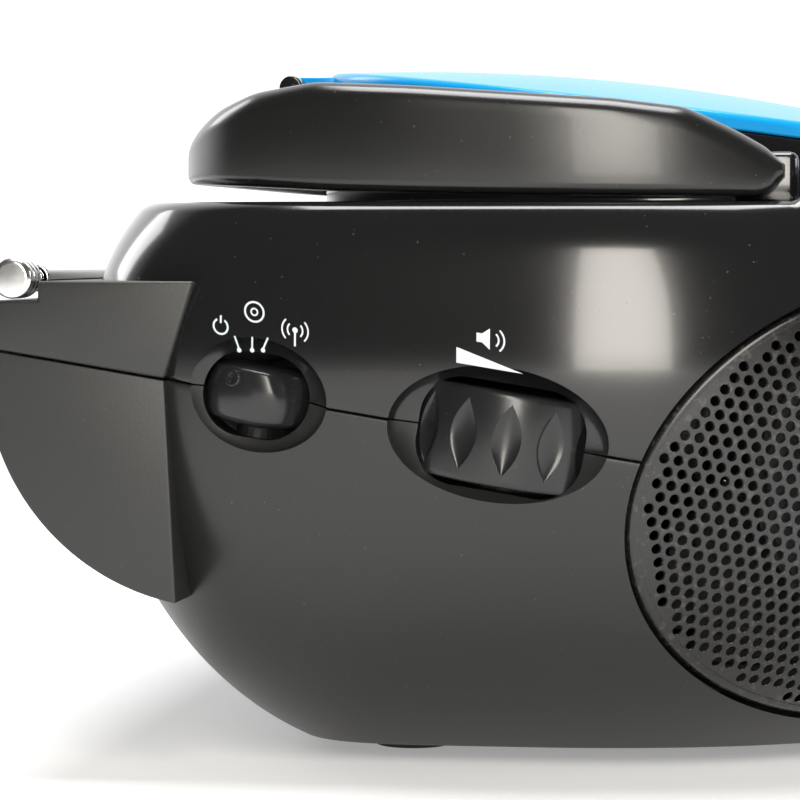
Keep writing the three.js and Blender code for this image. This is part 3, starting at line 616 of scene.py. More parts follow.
def wall_at(points):
    """Wall thickness at points of the outer surface: enough for a dish near the wheels, thin elsewhere."""
    thick = np.full(points.shape[:-1], WALL)
    for side, y, dish, size in knob_spots:
        reach = np.hypot((points[..., 1] - y) / (dish[0] + 9), (points[..., 2] - parting_at(y)) / (dish[1] + 9))
        near = np.clip((1.25 - reach) / 0.4, 0, 1) * (points[..., 0] * side > 60)
        thick = np.maximum(thick, WALL + (8.5 - WALL) * near * near * (3 - 2 * near))
    return thick


def closed_shell(name, outer_rows, inner_rows, material):
    """A walled shell from its outer rows and, going back, its inner rows. Also the outer surface alone."""
    outer = sheet(name + "_outer", outer_rows, material)
    outside = surface_data(outer)
    bpy.data.objects.remove(outer)
    piece = sheet(name, list(outer_rows) + list(inner_rows), material, closed=True)
    return piece, outside


print("wheel dishes, mm:", WHEEL_DISH, KNOB_DISH, "speaker oval:", SPEAKER_OVAL)


# %% [markdown]
# ## Lower case
# The lower case is a bowl whose top edge follows the sloping parting line. Its rows of points run from the
# base to that line, so the edge is exact and needs no cut; the last rows roll over to a small radius.

# %% Lower case
angles = even_angles(640 // fine)


def parting_height(inset, offset):
    z = np.full(len(angles), PARTING_Z)
    for _ in range(8):
        z = parting_at(case_point(angles, z, inset)[:, 1]) + offset
    return z


def belly_rows(z_top, count):
    rows = []
    depth_top = np.arcsin(np.clip((EQUATOR - z_top) / BELLY_DEPTH, -0.2, 1))
    depth_base = math.asin((EQUATOR - BASE_Z) / BELLY_DEPTH)
    for i in range(count + 1):
        depth = depth_base + (depth_top - depth_base) * i / count
        rows.append(case_point(angles, EQUATOR - BELLY_DEPTH * np.sin(depth)))
    return rows


LIP = 0.35
seam_low = parting_height(0, -SEAM)


def shrunk(ring, share):
    """A flat ring drawn in towards the middle of the floor, to close it."""
    return ring * np.array([share, share, 1]) + np.array([0, WIDEST * (1 - share), 0])


base_ring = case_point(angles, BASE_Z + 0 * angles)
rows = [shrunk(base_ring, s) for s in (0.02, 0.3, 0.6, 0.9, 0.985)] + belly_rows(seam_low - LIP, 96 // fine)
for turn_angle in (30, 60, 90):
    a = math.radians(turn_angle)
    rows.append(case_point(angles, seam_low - LIP + LIP * math.sin(a), LIP * (1 - math.cos(a))))
inside = []
for row in belly_rows(seam_low, 60 // fine)[::-1]:
    z = np.maximum(row[:, 2], BASE_Z + WALL)
    inside.append(case_point(angles, z, wall_at(row)))
    inside[-1][:, 2] = z
floor_ring = case_point(angles, BASE_Z + WALL + 0 * angles, WALL)
inside = [row for row in inside if row[:, 2].max() > BASE_Z + WALL + 0.5]
inside += [shrunk(floor_ring, s) for s in (0.9, 0.6, 0.3, 0.02)]
lower, smooth_lower = closed_shell("lower_case_shell", rows, inside, satin_black)
door_source = lower.copy()
door_source.data = lower.data.copy()
bpy.context.collection.objects.link(door_source)
carve(lower, case_cutters(False))
crisp(lower)
restore_normals(lower, *smooth_lower)
settle(lower, "case", "satin_black", "lower_case")

# %% [markdown]
# ## Upper case
# The upper case climbs from the parting line to the rim, rounds over onto the handle's ledge and the front
# deck, and then rises again as the collar that the lid closes on. One grid of rows makes all of it.

# %% Upper case
lid_tilt = math.atan(LID_SLOPE)
lid_frame = Matrix.Translation((0, LID_Y, LID_Z + LID_SLOPE * LID_Y)) @ Matrix.Rotation(lid_tilt, 4, "X")
lid_axes = np.array(lid_frame.to_3x3())
lid_origin = np.array(lid_frame.translation)


def in_lid(u, v, w):
    local = np.stack([u + 0 * w, v + 0 * w, w + 0 * u], -1)
    return local @ lid_axes.T + lid_origin


seam_high = parting_height(0, SEAM)
rim = np.full(len(angles), LEDGE_Z)
for _ in range(40):
    rim = 0.5 * rim + 0.5 * top_z(case_point(angles, rim)[:, 1])
ROUND = 1.6
rows = []
for turn_angle in (90, 60, 30):
    a = math.radians(turn_angle)
    rows.append(case_point(angles, seam_high + LIP - LIP * math.sin(a), LIP * (1 - math.cos(a))))
wall_count = 64 // fine
for i in range(wall_count + 1):
    rows.append(case_point(angles, seam_high + LIP + (rim - ROUND - seam_high - LIP) * i / wall_count))
for turn_angle in (18, 36, 54, 72):
    a = math.radians(turn_angle)
    rows.append(case_point(angles, rim - ROUND + ROUND * math.sin(a), ROUND * (1 - math.cos(a))))
edge = case_point(angles, rim, ROUND)
bearing = np.arctan2(edge[:, 1] - LID_Y, edge[:, 0])
collar_out = LID_R + 0.5
foot = np.stack([collar_out * np.cos(bearing), LID_Y + collar_out * np.sin(bearing)], -1)
deck_count = 56 // fine
for i in range(deck_count + 1):
    t = i / deck_count
    t_foot = 1 - 1.2 / np.linalg.norm(edge[:, :2] - foot, axis=1)
    xy = edge[:, :2] + (foot - edge[:, :2]) * (t * t_foot)[:, None]
    rows.append(np.concatenate([xy, top_z(xy[:, 1])[:, None]], 1))
foot_z = top_z(foot[:, 1])
for turn_angle in (30, 60, 90):
    a = math.radians(turn_angle)
    xy = foot + (edge[:, :2] - foot) / np.linalg.norm(edge[:, :2] - foot, axis=1)[:, None] * (1.2 * (1 - math.sin(a)))
    rows.append(np.concatenate([xy, (foot_z + 1.2 * (1 - math.cos(a)))[:, None]], 1))
collar_low = foot_z + 1.2
for i in range(1, 11):
    top = in_lid(collar_out * np.cos(bearing), collar_out * np.sin(bearing), np.full(len(angles), -LID_RIM - 0.6))
    base = np.concatenate([foot, collar_low[:, None]], 1)
    rows.append(base + (top - base) * i / 10)
for radius, w in ((collar_out - 0.3, -3.36), (collar_out - 0.7, -3.3), (66.9, -3.3), (66.5, -3.5), (66.5, -16.0)):
    rows.append(in_lid(radius * np.cos(bearing), radius * np.sin(bearing), np.full(len(angles), w)))
inside = [in_lid(67.6 * np.cos(bearing), 67.6 * np.sin(bearing), np.full(len(angles), -16.0))]
inner_edge = case_point(angles, rim, WALL)
for t in np.linspace(0, 1, 24 // fine):
    xy = foot * 0.995 + (inner_edge[:, :2] - foot * 0.995) * t
    inside.append(np.concatenate([xy, (top_z(xy[:, 1]) - WALL)[:, None]], 1))
for t in np.linspace(0.04, 1, 48 // fine):
    z = rim - WALL + (seam_high - rim + WALL) * t
    inside.append(case_point(angles, z, wall_at(case_point(angles, z))))
upper, smooth_upper = closed_shell("upper_case_shell", rows, inside, gloss_black)
BUTTON_Y, BUTTON_W, BUTTON_D = -84.0, 14.4, 9.5
button_xs = [i * (BUTTON_W + 1.6) for i in (-2, -1, 0, 1, 2)]
button_holes = [block(x - BUTTON_W / 2 - 0.3, x + BUTTON_W / 2 + 0.3, BUTTON_Y - BUTTON_D / 2 - 0.3,
                      BUTTON_Y + BUTTON_D / 2 + 0.3, 90, 120) for x in button_xs]
carve(upper, case_cutters(True) + button_holes)
crisp(upper)
restore_normals(upper, *smooth_upper)
settle(upper, "case", "gloss_black", "upper_case")
print("upper case faces:", len(upper.data.polygons))

# %% [markdown]
# ## Battery door
# The door is the piece of the lower case that the door's opening took away, less a gap all round, so its
# curve continues the belly's.

# %% Battery door
door = door_source
door.name = "battery_door_cover"
carve(door, [block(-DOOR[0] + 0.3, DOOR[0] - 0.3, 45, 130, DOOR[1] + 0.3, DOOR[2] - 0.3)], "INTERSECT")
crisp(door)
settle(door, "battery_door", "satin_black", "battery_door")
print("battery door faces:", len(door.data.polygons))

# %% [markdown]
# ## Rear drum
# Behind the case stands a drum with flat ends: a quarter round below and an upright wall above, with a step
# along the top that the antenna lies in. It is a bevelled prism in two halves, split by the parting line.

# %% Drum halves
DRUM_Y, DRUM_Z, DRUM_REAR, DRUM_END, DRUM_TOP = 65.0, 74.5, 108.0, 122.0, 90.0
ANT_Y, ANT_Z, TIP_R = 102.9, 90.5, 3.7
radius = DRUM_REAR - DRUM_Y


DRUM_FRONT = 73.0


def drum_outline(upper_half):
    if upper_half:
        step = ANT_Y - TIP_R - 1
        step_z = ANT_Z - TIP_R - 0.3
        return [(DRUM_REAR, parting_at(DRUM_REAR) + SEAM), (DRUM_REAR, step_z), (step, step_z), (step, DRUM_TOP),
                (DRUM_FRONT - 3.5, DRUM_TOP), (DRUM_FRONT + 2, parting_at(DRUM_FRONT + 2) + SEAM)]
    last = math.acos((DRUM_FRONT - DRUM_Y) / radius)
    arc = [(DRUM_Y + radius * math.cos(a), DRUM_Z + radius * math.sin(a)) for a in np.linspace(-last, 0, 60)]
    return arc + [(DRUM_REAR, parting_at(DRUM_REAR) - SEAM), (DRUM_FRONT + 2, parting_at(DRUM_FRONT + 2) - SEAM)]


INLET_HOLE = (47.7, 72.3, 90, 130, 56.2, 71.8)


def drum_half(name, upper_half, node):
    piece = prism(name, drum_outline(upper_half), -DRUM_END, DRUM_END, along_x, drum_grey)
    if not upper_half:
        carve(piece, [block(*INLET_HOLE)])
    edged(piece, 0.7, 4, limit=35)
    settle(piece, "case", "satin_black", node)
    print(name, "faces:", len(piece.data.polygons))


drum_half("rear_drum_upper", True, "drum_cap")
drum_half("rear_drum_lower", False, "lower_case")

# %% [markdown]
# ## Speaker grilles
# A perforated grille is punched from sheet and then pressed to the curve of the case. The holes sit on a
# slightly turned honeycomb. Every cell of the honeycomb is a hexagon with a round hole, and the hole's edge
# rolls inwards as a punched edge does. Cells that meet the outline are left blank.

# %% Grille lattice
speaker_out = np.array([math.cos(SPEAKER_TURN), -math.sin(SPEAKER_TURN)])
speaker_across = np.array([math.sin(SPEAKER_TURN), math.cos(SPEAKER_TURN)])


def on_case(t, z, inset):
    """Points of the case side seen from the speaker's direction, t across and z up, for the +X side."""
    low, high = np.full(t.shape, -70.0), np.full(t.shape, 30.0)
    inward = tuck(z) + inset
    for _ in range(34):
        middle = (low + high) / 2
        x = SPEAKER_AT[0] + t * speaker_across[0] + middle * speaker_out[0]
        y = SPEAKER_AT[1] + t * speaker_across[1] + middle * speaker_out[1]
        rear = y > WIDEST
        deep = np.where(rear, REAR - WIDEST, WIDEST - FRONT) - inward
        n = np.where(rear, REAR_POWER, FRONT_POWER)
        outside = np.abs(x / (HALF_WIDTH - inward)) ** n + np.abs((y - WIDEST) / deep) ** n > 1
        high = np.where(outside, middle, high)
        low = np.where(outside, low, middle)
    return np.stack([x, y, z], -1)


dense_t = np.linspace(-70, 70, 1401)
dense_points = on_case(dense_t, np.full(dense_t.shape, SPEAKER_AT[2]), 0.6)
dense_run = np.concatenate([[0], np.cumsum(np.linalg.norm(np.diff(dense_points, axis=0), axis=1))])
dense_run -= np.interp(0, dense_t, dense_run)


def grille_piece(name, side, node):
    """A sheet of honeycomb cells, each with a punched hole, and a flange that runs into the case."""
    pitch, sides = 2.62, 12 if fine == 1 else 6
    hole, turned_by = 0.98, math.radians(9.4)
    if fine == 2:
        pitch, hole = 5.24, 1.96
    gap_edge, flange = 1.0, 1.5
    inner = (SPEAKER_OVAL[0] - gap_edge - flange * 0.6, SPEAKER_OVAL[1] - gap_edge - flange * 0.6)
    inset = 0.7
    points, faces = [], []
    corner_angles = np.radians(30 + np.arange(sides) * 360 / sides)
    reach = np.where(np.arange(sides) % (sides // 6) == 0, 1 / math.cos(math.pi / 6), 1.0) * pitch / 2
    span = 66
    rows_n = int(span / (pitch * 0.866)) + 1
    for j in range(-rows_n, rows_n + 1):
        for i in range(-rows_n, rows_n + 1):
            u0 = (i + 0.5 * (j % 2)) * pitch
            v0 = j * pitch * math.sqrt(3) / 2
            s = u0 * math.cos(turned_by) - v0 * math.sin(turned_by)
            z = u0 * math.sin(turned_by) + v0 * math.cos(turned_by)
            if abs(z) > inner[1] + pitch:
                continue
            u = reach * np.cos(corner_angles + turned_by) + s
            v = reach * np.sin(corner_angles + turned_by) + z
            t = np.interp(u, dense_run, dense_t)
            size = np.hypot(t / inner[0], v / inner[1])
            if size.min() > 1:
                continue
            start = len(points)
            if size.max() <= 0.995:
                across, up = hole * np.cos(corner_angles + turned_by), hole * np.sin(corner_angles + turned_by)
                points += [(u[k], v[k], 0.0) for k in range(sides)]
                for share, depth in ((1.0, 0.0), (0.9, 0.13), (0.9, 0.7)):
                    points += [(s + share * across[k], z + share * up[k], depth) for k in range(sides)]
                for ring in range(3):
                    for k in range(sides):
                        a, b = start + ring * sides + k, start + ring * sides + (k + 1) % sides
                        faces.append((a, b, b + sides, a + sides))
            else:
                shrink = np.where(size > 1, 1 / size, 1.0)
                t = t * shrink
                v = v * shrink
                u = np.interp(t, dense_t, dense_run)
                points += [(u[k], v[k], 0.0) for k in range(sides)]
                faces.append(tuple(start + k for k in range(sides)))
    lattice = np.array(points)
    t = np.interp(lattice[:, 0], dense_run, dense_t)
    xyz = on_case(t, SPEAKER_AT[2] + lattice[:, 1], inset)
    xyz[:, :2] -= speaker_out * lattice[:, 2:3]
    around = np.linspace(0, 2 * np.pi, 240 // fine, endpoint=False)
    bands = []
    for shrink, depth in ((flange, 0.15), (flange * 0.9, -0.12), (flange * 0.55, -0.2), (flange * 0.2, -0.1),
                          (0.05, 0.25), (0.0, 0.7), (0.0, 4.0)):
        a, b = SPEAKER_OVAL[0] - gap_edge - shrink, SPEAKER_OVAL[1] - gap_edge - shrink
        band = on_case(a * np.cos(around), SPEAKER_AT[2] + b * np.sin(around), inset)
        band[:, :2] -= speaker_out * depth
        bands.append(band)
    offset = len(xyz)
    count = len(around)
    xyz = np.concatenate([xyz] + bands)
    for ring in range(len(bands) - 1):
        for k in range(count):
            a, b = offset + ring * count + k, offset + ring * count + (k + 1) % count
            faces.append((a, b, b + count, a + count))
    xyz[:, 0] *= side
    if side > 0:
        faces = [f[::-1] for f in faces]
    piece = new_piece(name, xyz, faces, grille_enamel)
    crisp(piece, 40)
    normals = np.array([p.normal for p in piece.data.polygons][:2000])
    outward = (normals[:, 0] * side).mean()
    if outward < 0:
        piece.data.flip_normals()
    settle(piece, "case", "perforated_metal", node)
    print(name, "faces", len(piece.data.polygons))


for side, word in ((-1, "left"), (1, "right")):
    grille_piece("speaker_grille_sheet_" + word, side, "speaker_grille_" + word)

# %% [markdown]
# ## Control wheels
# The wheels are barrels that lie in the parting line. Their grips are lens-shaped flutes. The columns of the
# grid follow the lens edges, so a flute's outline stays crisp without a very fine mesh.

# %% Wheels
WHEEL_RADIUS, WHEEL_HEIGHT, FLUTES, FLUTE_PHASE, WHEEL_DEPTH = 18.0, 16.8, 14, 0.10, 14.44
FLUTE_WIDTH, FLUTE_DEPTH, WHEEL_ROUND = 2.6, 0.85, 0.9


def control_wheel(name, side, node):
    half = WHEEL_HEIGHT / 2
    ends = half - WHEEL_ROUND
    rolled = [WHEEL_ROUND * (1 - math.cos(a)) for a in (0.8, 1.2)]
    levels = [-half] + [-half + drop for drop in rolled] + list(np.linspace(-ends, ends, 48))
    levels += [half - drop for drop in rolled[::-1]] + [half]
    pitch = 2 * math.pi * WHEEL_RADIUS / FLUTES
    rows = []
    for h in levels:
        edge = max(0.0, (abs(h) - half + WHEEL_ROUND) / WHEEL_ROUND)
        crown = 0.5 * (h / half) ** 2
        base = WHEEL_RADIUS - crown - WHEEL_ROUND * (1 - math.sqrt(max(0.0, 1 - edge * edge)))
        seam = 0.07 * max(0.0, 1 - abs(h) / 0.16)
        open_ = max(0.0, 1 - (h / (half * 0.76)) ** 2)
        width = max(0.03, FLUTE_WIDTH * open_)
        local = np.sort(np.concatenate([np.linspace(-pitch / 2, -width, 5), [-width + 0.16 * open_],
                                        np.linspace(-width, width, 11)[1:], np.linspace(width, pitch / 2, 5)[1:-1]]))
        dip = FLUTE_DEPTH * open_ ** 0.8 * np.clip(1 - (local / width) ** 2, 0, None) ** 0.8
        across = np.concatenate([local + k * pitch for k in range(FLUTES)])
        r = base - np.tile(dip, FLUTES) + seam
        angle = across / WHEEL_RADIUS + FLUTE_PHASE
        rows.append(np.stack([r * np.cos(angle), r * np.sin(angle), h + 0 * angle], -1))
    cap_low = [rows[0] * np.array([s, s, 1]) for s in (0.02, 0.6)]
    cap_high = [rows[-1] * np.array([s, s, 1]) for s in (0.6, 0.02)]
    z = parting_at(WHEEL_Y)
    centre = np.array([side * (float(side_x(WHEEL_Y, z)) - WHEEL_DEPTH), WHEEL_Y, z])
    piece = sheet(name, np.array(cap_low + rows + cap_high) @ np.array(tilted.to_3x3()).T + centre, knob_black)
    crisp(piece, 24)
    return settle(piece, node, "satin_black", node)


low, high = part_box("volume_wheel")
print("volume wheel reaches x", round(low[0] / MM, 2), round(high[0] / MM, 2))
control_wheel("volume_wheel_fluted", -1, "volume_wheel")
control_wheel("tuning_wheel_fluted", 1, "tuning_wheel")

# %% [markdown]
# ## Function knob
# The knob is a smooth barrel with a soft ridge for the finger and a small raised ring as its mark.

# %% Function knob
KNOB_HALF, KNOB_RADIUS, KNOB_DEPTH, PIP_AT = 5.5, 10.0, 7.9, 0.42


def function_knob():
    z = parting_at(KNOB_Y)
    count = 160 // fine
    spin = np.linspace(0, 2 * np.pi, count, endpoint=False)
    rows = []
    for h in np.linspace(-KNOB_HALF, KNOB_HALF, 45):
        rise = abs(h) / KNOB_HALF
        base = KNOB_RADIUS * (1 - 0.12 * rise ** 2) - 2.2 * max(0.0, (rise - 0.72) / 0.28) ** 2.2
        ridge_at = math.pi + 0.18 + 0.05 * (KNOB_HALF - h)
        off = np.abs((spin - ridge_at + math.pi) % (2 * math.pi) - math.pi)
        ridge = 0.75 * np.clip(1 - off / 0.42, 0, 1) * (1 - rise ** 3)
        r = base + ridge - 0.3
        rows.append(np.stack([r * np.cos(spin), r * np.sin(spin), h + 0 * spin], -1))
    rows = np.array([rows[0] * np.array([0.02, 0.02, 1]), rows[0] * np.array([0.7, 0.7, 1])] + rows
                    + [rows[-1] * np.array([0.7, 0.7, 1]), rows[-1] * np.array([0.02, 0.02, 1])])
    centre = np.array([-(float(side_x(KNOB_Y, z)) - KNOB_DEPTH), KNOB_Y, z])
    place = np.array(tilted.to_3x3())
    knob = sheet("function_knob_barrel", rows @ place.T + centre, knob_black)
    crisp(knob, 28)
    settle(knob, "function_wheel", "satin_black", "function_wheel")
    direction = Vector((-math.cos(PIP_AT), math.sin(PIP_AT), 0.0))
    spot = centre + place @ np.array([direction.x * 9.55, direction.y * 9.55, 2.6])
    axis = place @ np.array([direction.x, direction.y, 0.12])
    ring = turn("function_knob_pip", rounded([(0.02, -0.1), (0.5, -0.1), (0.5, 0.12), (0.85, 0.12), (0.85, 0.5),
                                              (1.5, 0.5), (1.7, -0.6)], 0.15, 3), spot, axis, knob_black, 32)
    settle(ring, "function_wheel", "satin_black")
    print("knob centre, mm:", centre.round(2))


function_knob()

# %% [markdown]
# ## Handle
# The handle is swept: at each station of its path a rounded rectangle spans from the inner to the outer
# outline, and its lower and upper faces follow the side view. The rounding shrinks where the arm thins out.

# %% Handle
def soft_profile(y, corners):
    """Height along a broken line whose corners are softened by averaging over a short run."""
    ys, zs = np.array(corners).T
    return np.mean([np.interp(y + d, ys, zs) for d in np.linspace(-1.6, 1.6, 9)], axis=0)


HANDLE_TOP = [(-34.4, 110.5), (-32, 113.6), (-26, 117), (-17, 121.2), (-4, 122.8), (14, 124), (32, 125.2), (50, 126),
              (62, 124.3), (70, 121.5), (77, 117.8), (84, 114.6)]
HANDLE_LOW = [(-34.4, 110.3), (-33.8, 107.2), (-31, 105.2), (18, 105.7), (48, 106.4), (84, 108.4)]


ARM_OUT, ARM_IN, NOSE_REACH, BAR_OUT, BAR_IN = 113.5, 93.0, 112.1, 68.5, 61.2


def handle_sweep():
    stations = []
    arm_ys = np.concatenate([np.linspace(-34.3, -30, 18), np.linspace(-29.5, 14.5, 40 // fine)])
    for y in arm_ys:
        x = ARM_OUT * (1 - (abs(y - WIDEST) / NOSE_REACH) ** FRONT_POWER) ** (1 / FRONT_POWER)
        stations.append(((x, y), (ARM_IN, y)))
    bend = np.linspace(0, math.pi / 2, 90 // fine)
    for s in bend:
        c, d = math.cos(s) ** 0.5 if math.cos(s) > 1e-9 else 0, math.sin(s) ** 0.5
        stations.append(((ARM_OUT * c, WIDEST + BAR_OUT * d), (ARM_IN * c, WIDEST + BAR_IN * d)))
    path = [((-o[0], o[1]), (-i[0], i[1])) for o, i in stations] + stations[::-1][1:]
    per_corner, rows = 7, []
    for outer, inner in path:
        outer, inner = np.array(outer), np.array(inner)
        width = np.linalg.norm(outer - inner)
        y_mid = (outer[1] + inner[1]) / 2
        tall = float(soft_profile(y_mid, HANDLE_TOP) - soft_profile(y_mid, HANDLE_LOW))
        tall = max(tall, 0.3)
        section = []
        for cu, cv, start, r in ((1, 0, -0.5, 2.0), (1, 1, 0.0, 4.2), (0, 1, 0.5, 4.2), (0, 0, 1.0, 2.0)):
            r = min(r, tall * 0.48, width * 0.48)
            for k in range(per_corner + 1):
                angle = math.pi * (start + 0.5 * k / per_corner)
                section.append(((r if cu == 0 else width - r) + r * math.cos(angle),
                                (r if cv == 0 else tall - r) + r * math.sin(angle)))
        p, q = np.array(section).T
        xy = inner + (outer - inner) * (p / width)[:, None]
        below, above = soft_profile(xy[:, 1], HANDLE_LOW), soft_profile(xy[:, 1], HANDLE_TOP)
        rows.append(np.concatenate([xy, (below + q / tall * (above - below))[:, None]], 1))
    rows = np.array(rows)
    first = rows[0].mean(0) + (rows[0] - rows[0].mean(0)) * 0.05
    last = rows[-1].mean(0) + (rows[-1] - rows[-1].mean(0)) * 0.05
    rows = np.concatenate([[first], rows, [last]])
    piece = sheet("carrying_handle", rows, grip_black, flip=True)
    crisp(piece, 50)
    return settle(piece, "handle", "gloss_black", "handle")


handle = handle_sweep()
print("handle box", [round(v, 1) for v in np.array([v.co for v in handle.data.vertices]).max(0) / MM])

# %% [markdown]
# ## Lid
# The lid is turned about its own tilted axis: a shallow dome, a rounded rim and a short skirt that stands
# over the collar. The hinge knuckles at the rear share one pin line with the lugs on the case.

# %% Lid and hinge
def boxed(name, low, high, material, edge=0.4):
    """A block with rounded edges."""
    x0, y0, z0 = low
    x1, y1, z1 = high
    piece = prism(name, [(x0, y0), (x1, y0), (x1, y1), (x0, y1)], z0, z1, Matrix.Identity(4), material)
    edged(piece, edge, 3)
    return piece


def dome(radius):
    return LID_DOME * (1 - (radius / LID_R) ** 2)


lid_axis = lid_axes[:, 2]
outer_dome = [(r, dome(r)) for r in np.linspace(0.02, LID_R - 1.4, 40 // fine)]
rim_edge = [(LID_R - 1.4 + 1.4 * math.sin(a), dome(LID_R - 1.4) - 1.4 * (1 - math.cos(a)) - 0.06 * math.sin(a))
            for a in np.radians([15, 30, 45, 60, 75, 90])]
skirt = [(LID_R, -1.6), (LID_R, -2.7), (LID_R - 0.3, -3.0), (LID_R - 2.3, -3.0), (LID_R - 2.6, -2.7)]
under_dome = [(r, dome(r) - 2.0) for r in np.linspace(LID_R - 2.7, 0.02, 20)]
lid_profile = (outer_dome + rim_edge + skirt + under_dome)[::-1]
lid = turn("disc_lid", lid_profile, lid_origin, lid_axis, lid_blue, 256 // fine)
settle(lid, "lid", "blue_gloss", "lid_shell")

HINGE_Y, HINGE_Z, HINGE_R = 68.4, 128.6, 2.4
pin_end = [(0.02, -2.2), (HINGE_R, -2.2), (HINGE_R, 2.2), (0.02, 2.2)]
for x in (-18.5, 18.5):
    rear_edge = LID_Y + math.sqrt(LID_R ** 2 - (abs(x) + 2.2) ** 2) - 1.2
    word = "left" if x < 0 else "right"
    settle(turn("lid_knuckle_" + word, rounded(pin_end, 0.5), (x, HINGE_Y, HINGE_Z), (1, 0, 0), lid_blue, 40),
           "lid", "blue_gloss")
    settle(boxed("lid_knuckle_arm_" + word, (x - 2.2, rear_edge, HINGE_Z + 0.6), (x + 2.2, HINGE_Y, HINGE_Z + 2.3),
                 lid_blue, 0.3), "lid", "blue_gloss")
lug_end = [(0.02, -3.0), (HINGE_R, -3.0), (HINGE_R, 3.0), (0.02, 3.0)]
for x in (-24, 24):
    start = LID_Y + math.sqrt(LID_R ** 2 - (abs(x) + 3) ** 2) - 2
    word = "left" if x < 0 else "right"
    settle(turn("hinge_lug_" + word, rounded(lug_end, 0.5), (x, HINGE_Y, HINGE_Z), (1, 0, 0), gloss_black, 40),
           "case", "gloss_black")
    settle(boxed("hinge_lug_post_" + word, (x - 3, HINGE_Y - 1.6, HINGE_Z - 12), (x + 3, HINGE_Y + 1.2, HINGE_Z),
                 gloss_black), "case", "gloss_black")
    settle(boxed("hinge_lug_foot_" + word, (x - 3, start, HINGE_Z - 12), (x + 3, HINGE_Y + 1.2, HINGE_Z - 2.6),
                 gloss_black), "case", "gloss_black")
EAR_OUT = 92.7
for side, word in ((-1, "left"), (1, "right")):
    x0, x1 = sorted((side * (EAR_OUT - 8), side * EAR_OUT))
    ear = boxed("handle_ear_" + word, (x0, -36.7, LEDGE_Z - 1), (x1, -24.7, 113.5), gloss_black, 1.6)
    settle(ear, "case", "gloss_black")
print("lid faces:", len(lid.data.polygons))

# %% [markdown]
# ## Disc drive
# Under the lid a shallow well holds the disc. The drive's parts keep the CAD shapes where they are simple
# sheet and rod; the turned ones are made again with more sides.

# %% Well, clamper and turntable
def turned_in_lid(name, profile, body, node, sides=128):
    """A black turned piece about the disc's tilted axis."""
    piece = turn(name, rounded(profile, 0.35, 3), lid_origin, lid_axis, inner_black, sides // fine)
    print(name, "faces:", len(piece.data.polygons))
    return settle(piece, body, "inner_black", node)


lining = [(6.6, -3.2), (63, -3.2), (63, -1.9), (6.6, -1.9), (6.6, -3.2)]
puck = [(0.02, -4.4), (8, -4.4), (8, -5.6), (13, -5.6), (13, -3.7), (6.2, -3.7), (6.2, -1.5), (9, -1.5), (9, -0.4),
        (0.02, -0.4)]
hub = [(1.3, -15.5), (4, -15.5), (4, -9.4), (13.5, -9.4), (13.5, -7.2), (7.3, -7.2), (6.6, -6), (3, -6), (3, -6.8),
       (1.3, -6.8), (1.3, -15.5)]
turned_in_lid("lid_lining_disc", lining[::-1], "lid", "lid_liner")
turned_in_lid("clamper_puck", puck, "clamper", "disc_clamper", 96)
turned_in_lid("turntable_hub", hub, "turntable", "turntable", 96)
lens = turn("pickup_lens", rounded([(0.02, -0.1), (1.9, -0.1), (1.9, 0.05), (1.2, 0.3), (0.02, 0.42)], 0.1, 2),
            in_lid(np.array(22.0), np.array(0.0), np.array(-9.6)), lid_axis, lens_glass, 48)
settle(lens, "sled", "clear_plastic")

# %% [markdown]
# ## Front panel
# The front plate carries the radio dial above and the drive's display below. Silver frames, dial marks and
# icons are thin raised prints; they follow the curved front, so they are projected onto it.

# %% Front prints
def front_y(x, z, proud=0.0):
    inset = tuck(z)
    share = (np.abs(x) / (HALF_WIDTH - inset)) ** FRONT_POWER
    return WIDEST - (WIDEST - FRONT - inset) * (1 - share) ** (1 / FRONT_POWER) - proud


def print_patch(name, polygons, surface, material, body, slot, proud=0.06, step=1.2):
    """Thin raised marks: 2-D polygons, filled, cut small enough to follow the surface, and laid on it."""
    points, faces = [], []
    for polygon in polygons:
        polygon = [np.array(p, float) for p in polygon]
        if len(polygon) == 4:
            long_a = max(np.linalg.norm(polygon[1] - polygon[0]), np.linalg.norm(polygon[2] - polygon[3]))
            n = max(1, int(long_a / step))
            start = len(points)
            for i in range(n + 1):
                t = i / n
                points.append(polygon[0] + (polygon[1] - polygon[0]) * t)
                points.append(polygon[3] + (polygon[2] - polygon[3]) * t)
            for i in range(n):
                a = start + 2 * i
                faces.append((a, a + 2, a + 3, a + 1))
        else:
            start = len(points)
            points += polygon
            faces.append(tuple(range(start, start + len(polygon))))
    flat = np.array(points)
    top, base = surface(flat, proud), surface(flat, 0.0)
    count = len(flat)
    edges = {}
    for face in faces:
        for a, b in zip(face, face[1:] + face[:1]):
            edges[(a, b)] = edges.get((a, b), 0) + 1
    walls = [(b, a, a + count, b + count) for (a, b) in edges if (b, a) not in edges]
    piece = new_piece(name, np.concatenate([top, base]), faces + walls, material, smooth=False)
    if piece.data.polygons[0].normal.dot(Vector((top - base)[0])) < 0:
        piece.data.flip_normals()
    return settle(piece, body, slot)


def on_front(flat, proud):
    return np.stack([flat[:, 0], front_y(flat[:, 0], flat[:, 1], proud), flat[:, 1]], -1)


def bar(x0, z0, x1, z1, width):
    a, b = np.array([x0, z0], float), np.array([x1, z1], float)
    along = (b - a) / np.linalg.norm(b - a)
    side = np.array([-along[1], along[0]]) * width / 2
    return [a - side, b - side, b + side, a + side]


def ring_mark(x, z, radius, width, start=0, end=360, steps=40):
    """Short pieces of a ring, or of an arc between two angles."""
    marks = []
    bends = np.radians(np.linspace(start, end, steps + 1))
    inner, outer = radius - width / 2, radius + width / 2
    for a, b in zip(bends[:-1], bends[1:]):
        quad = [(inner, a), (inner, b), (outer, b), (outer, a)]
        marks.append([(x + r * math.cos(t), z + r * math.sin(t)) for r, t in quad])
    return marks


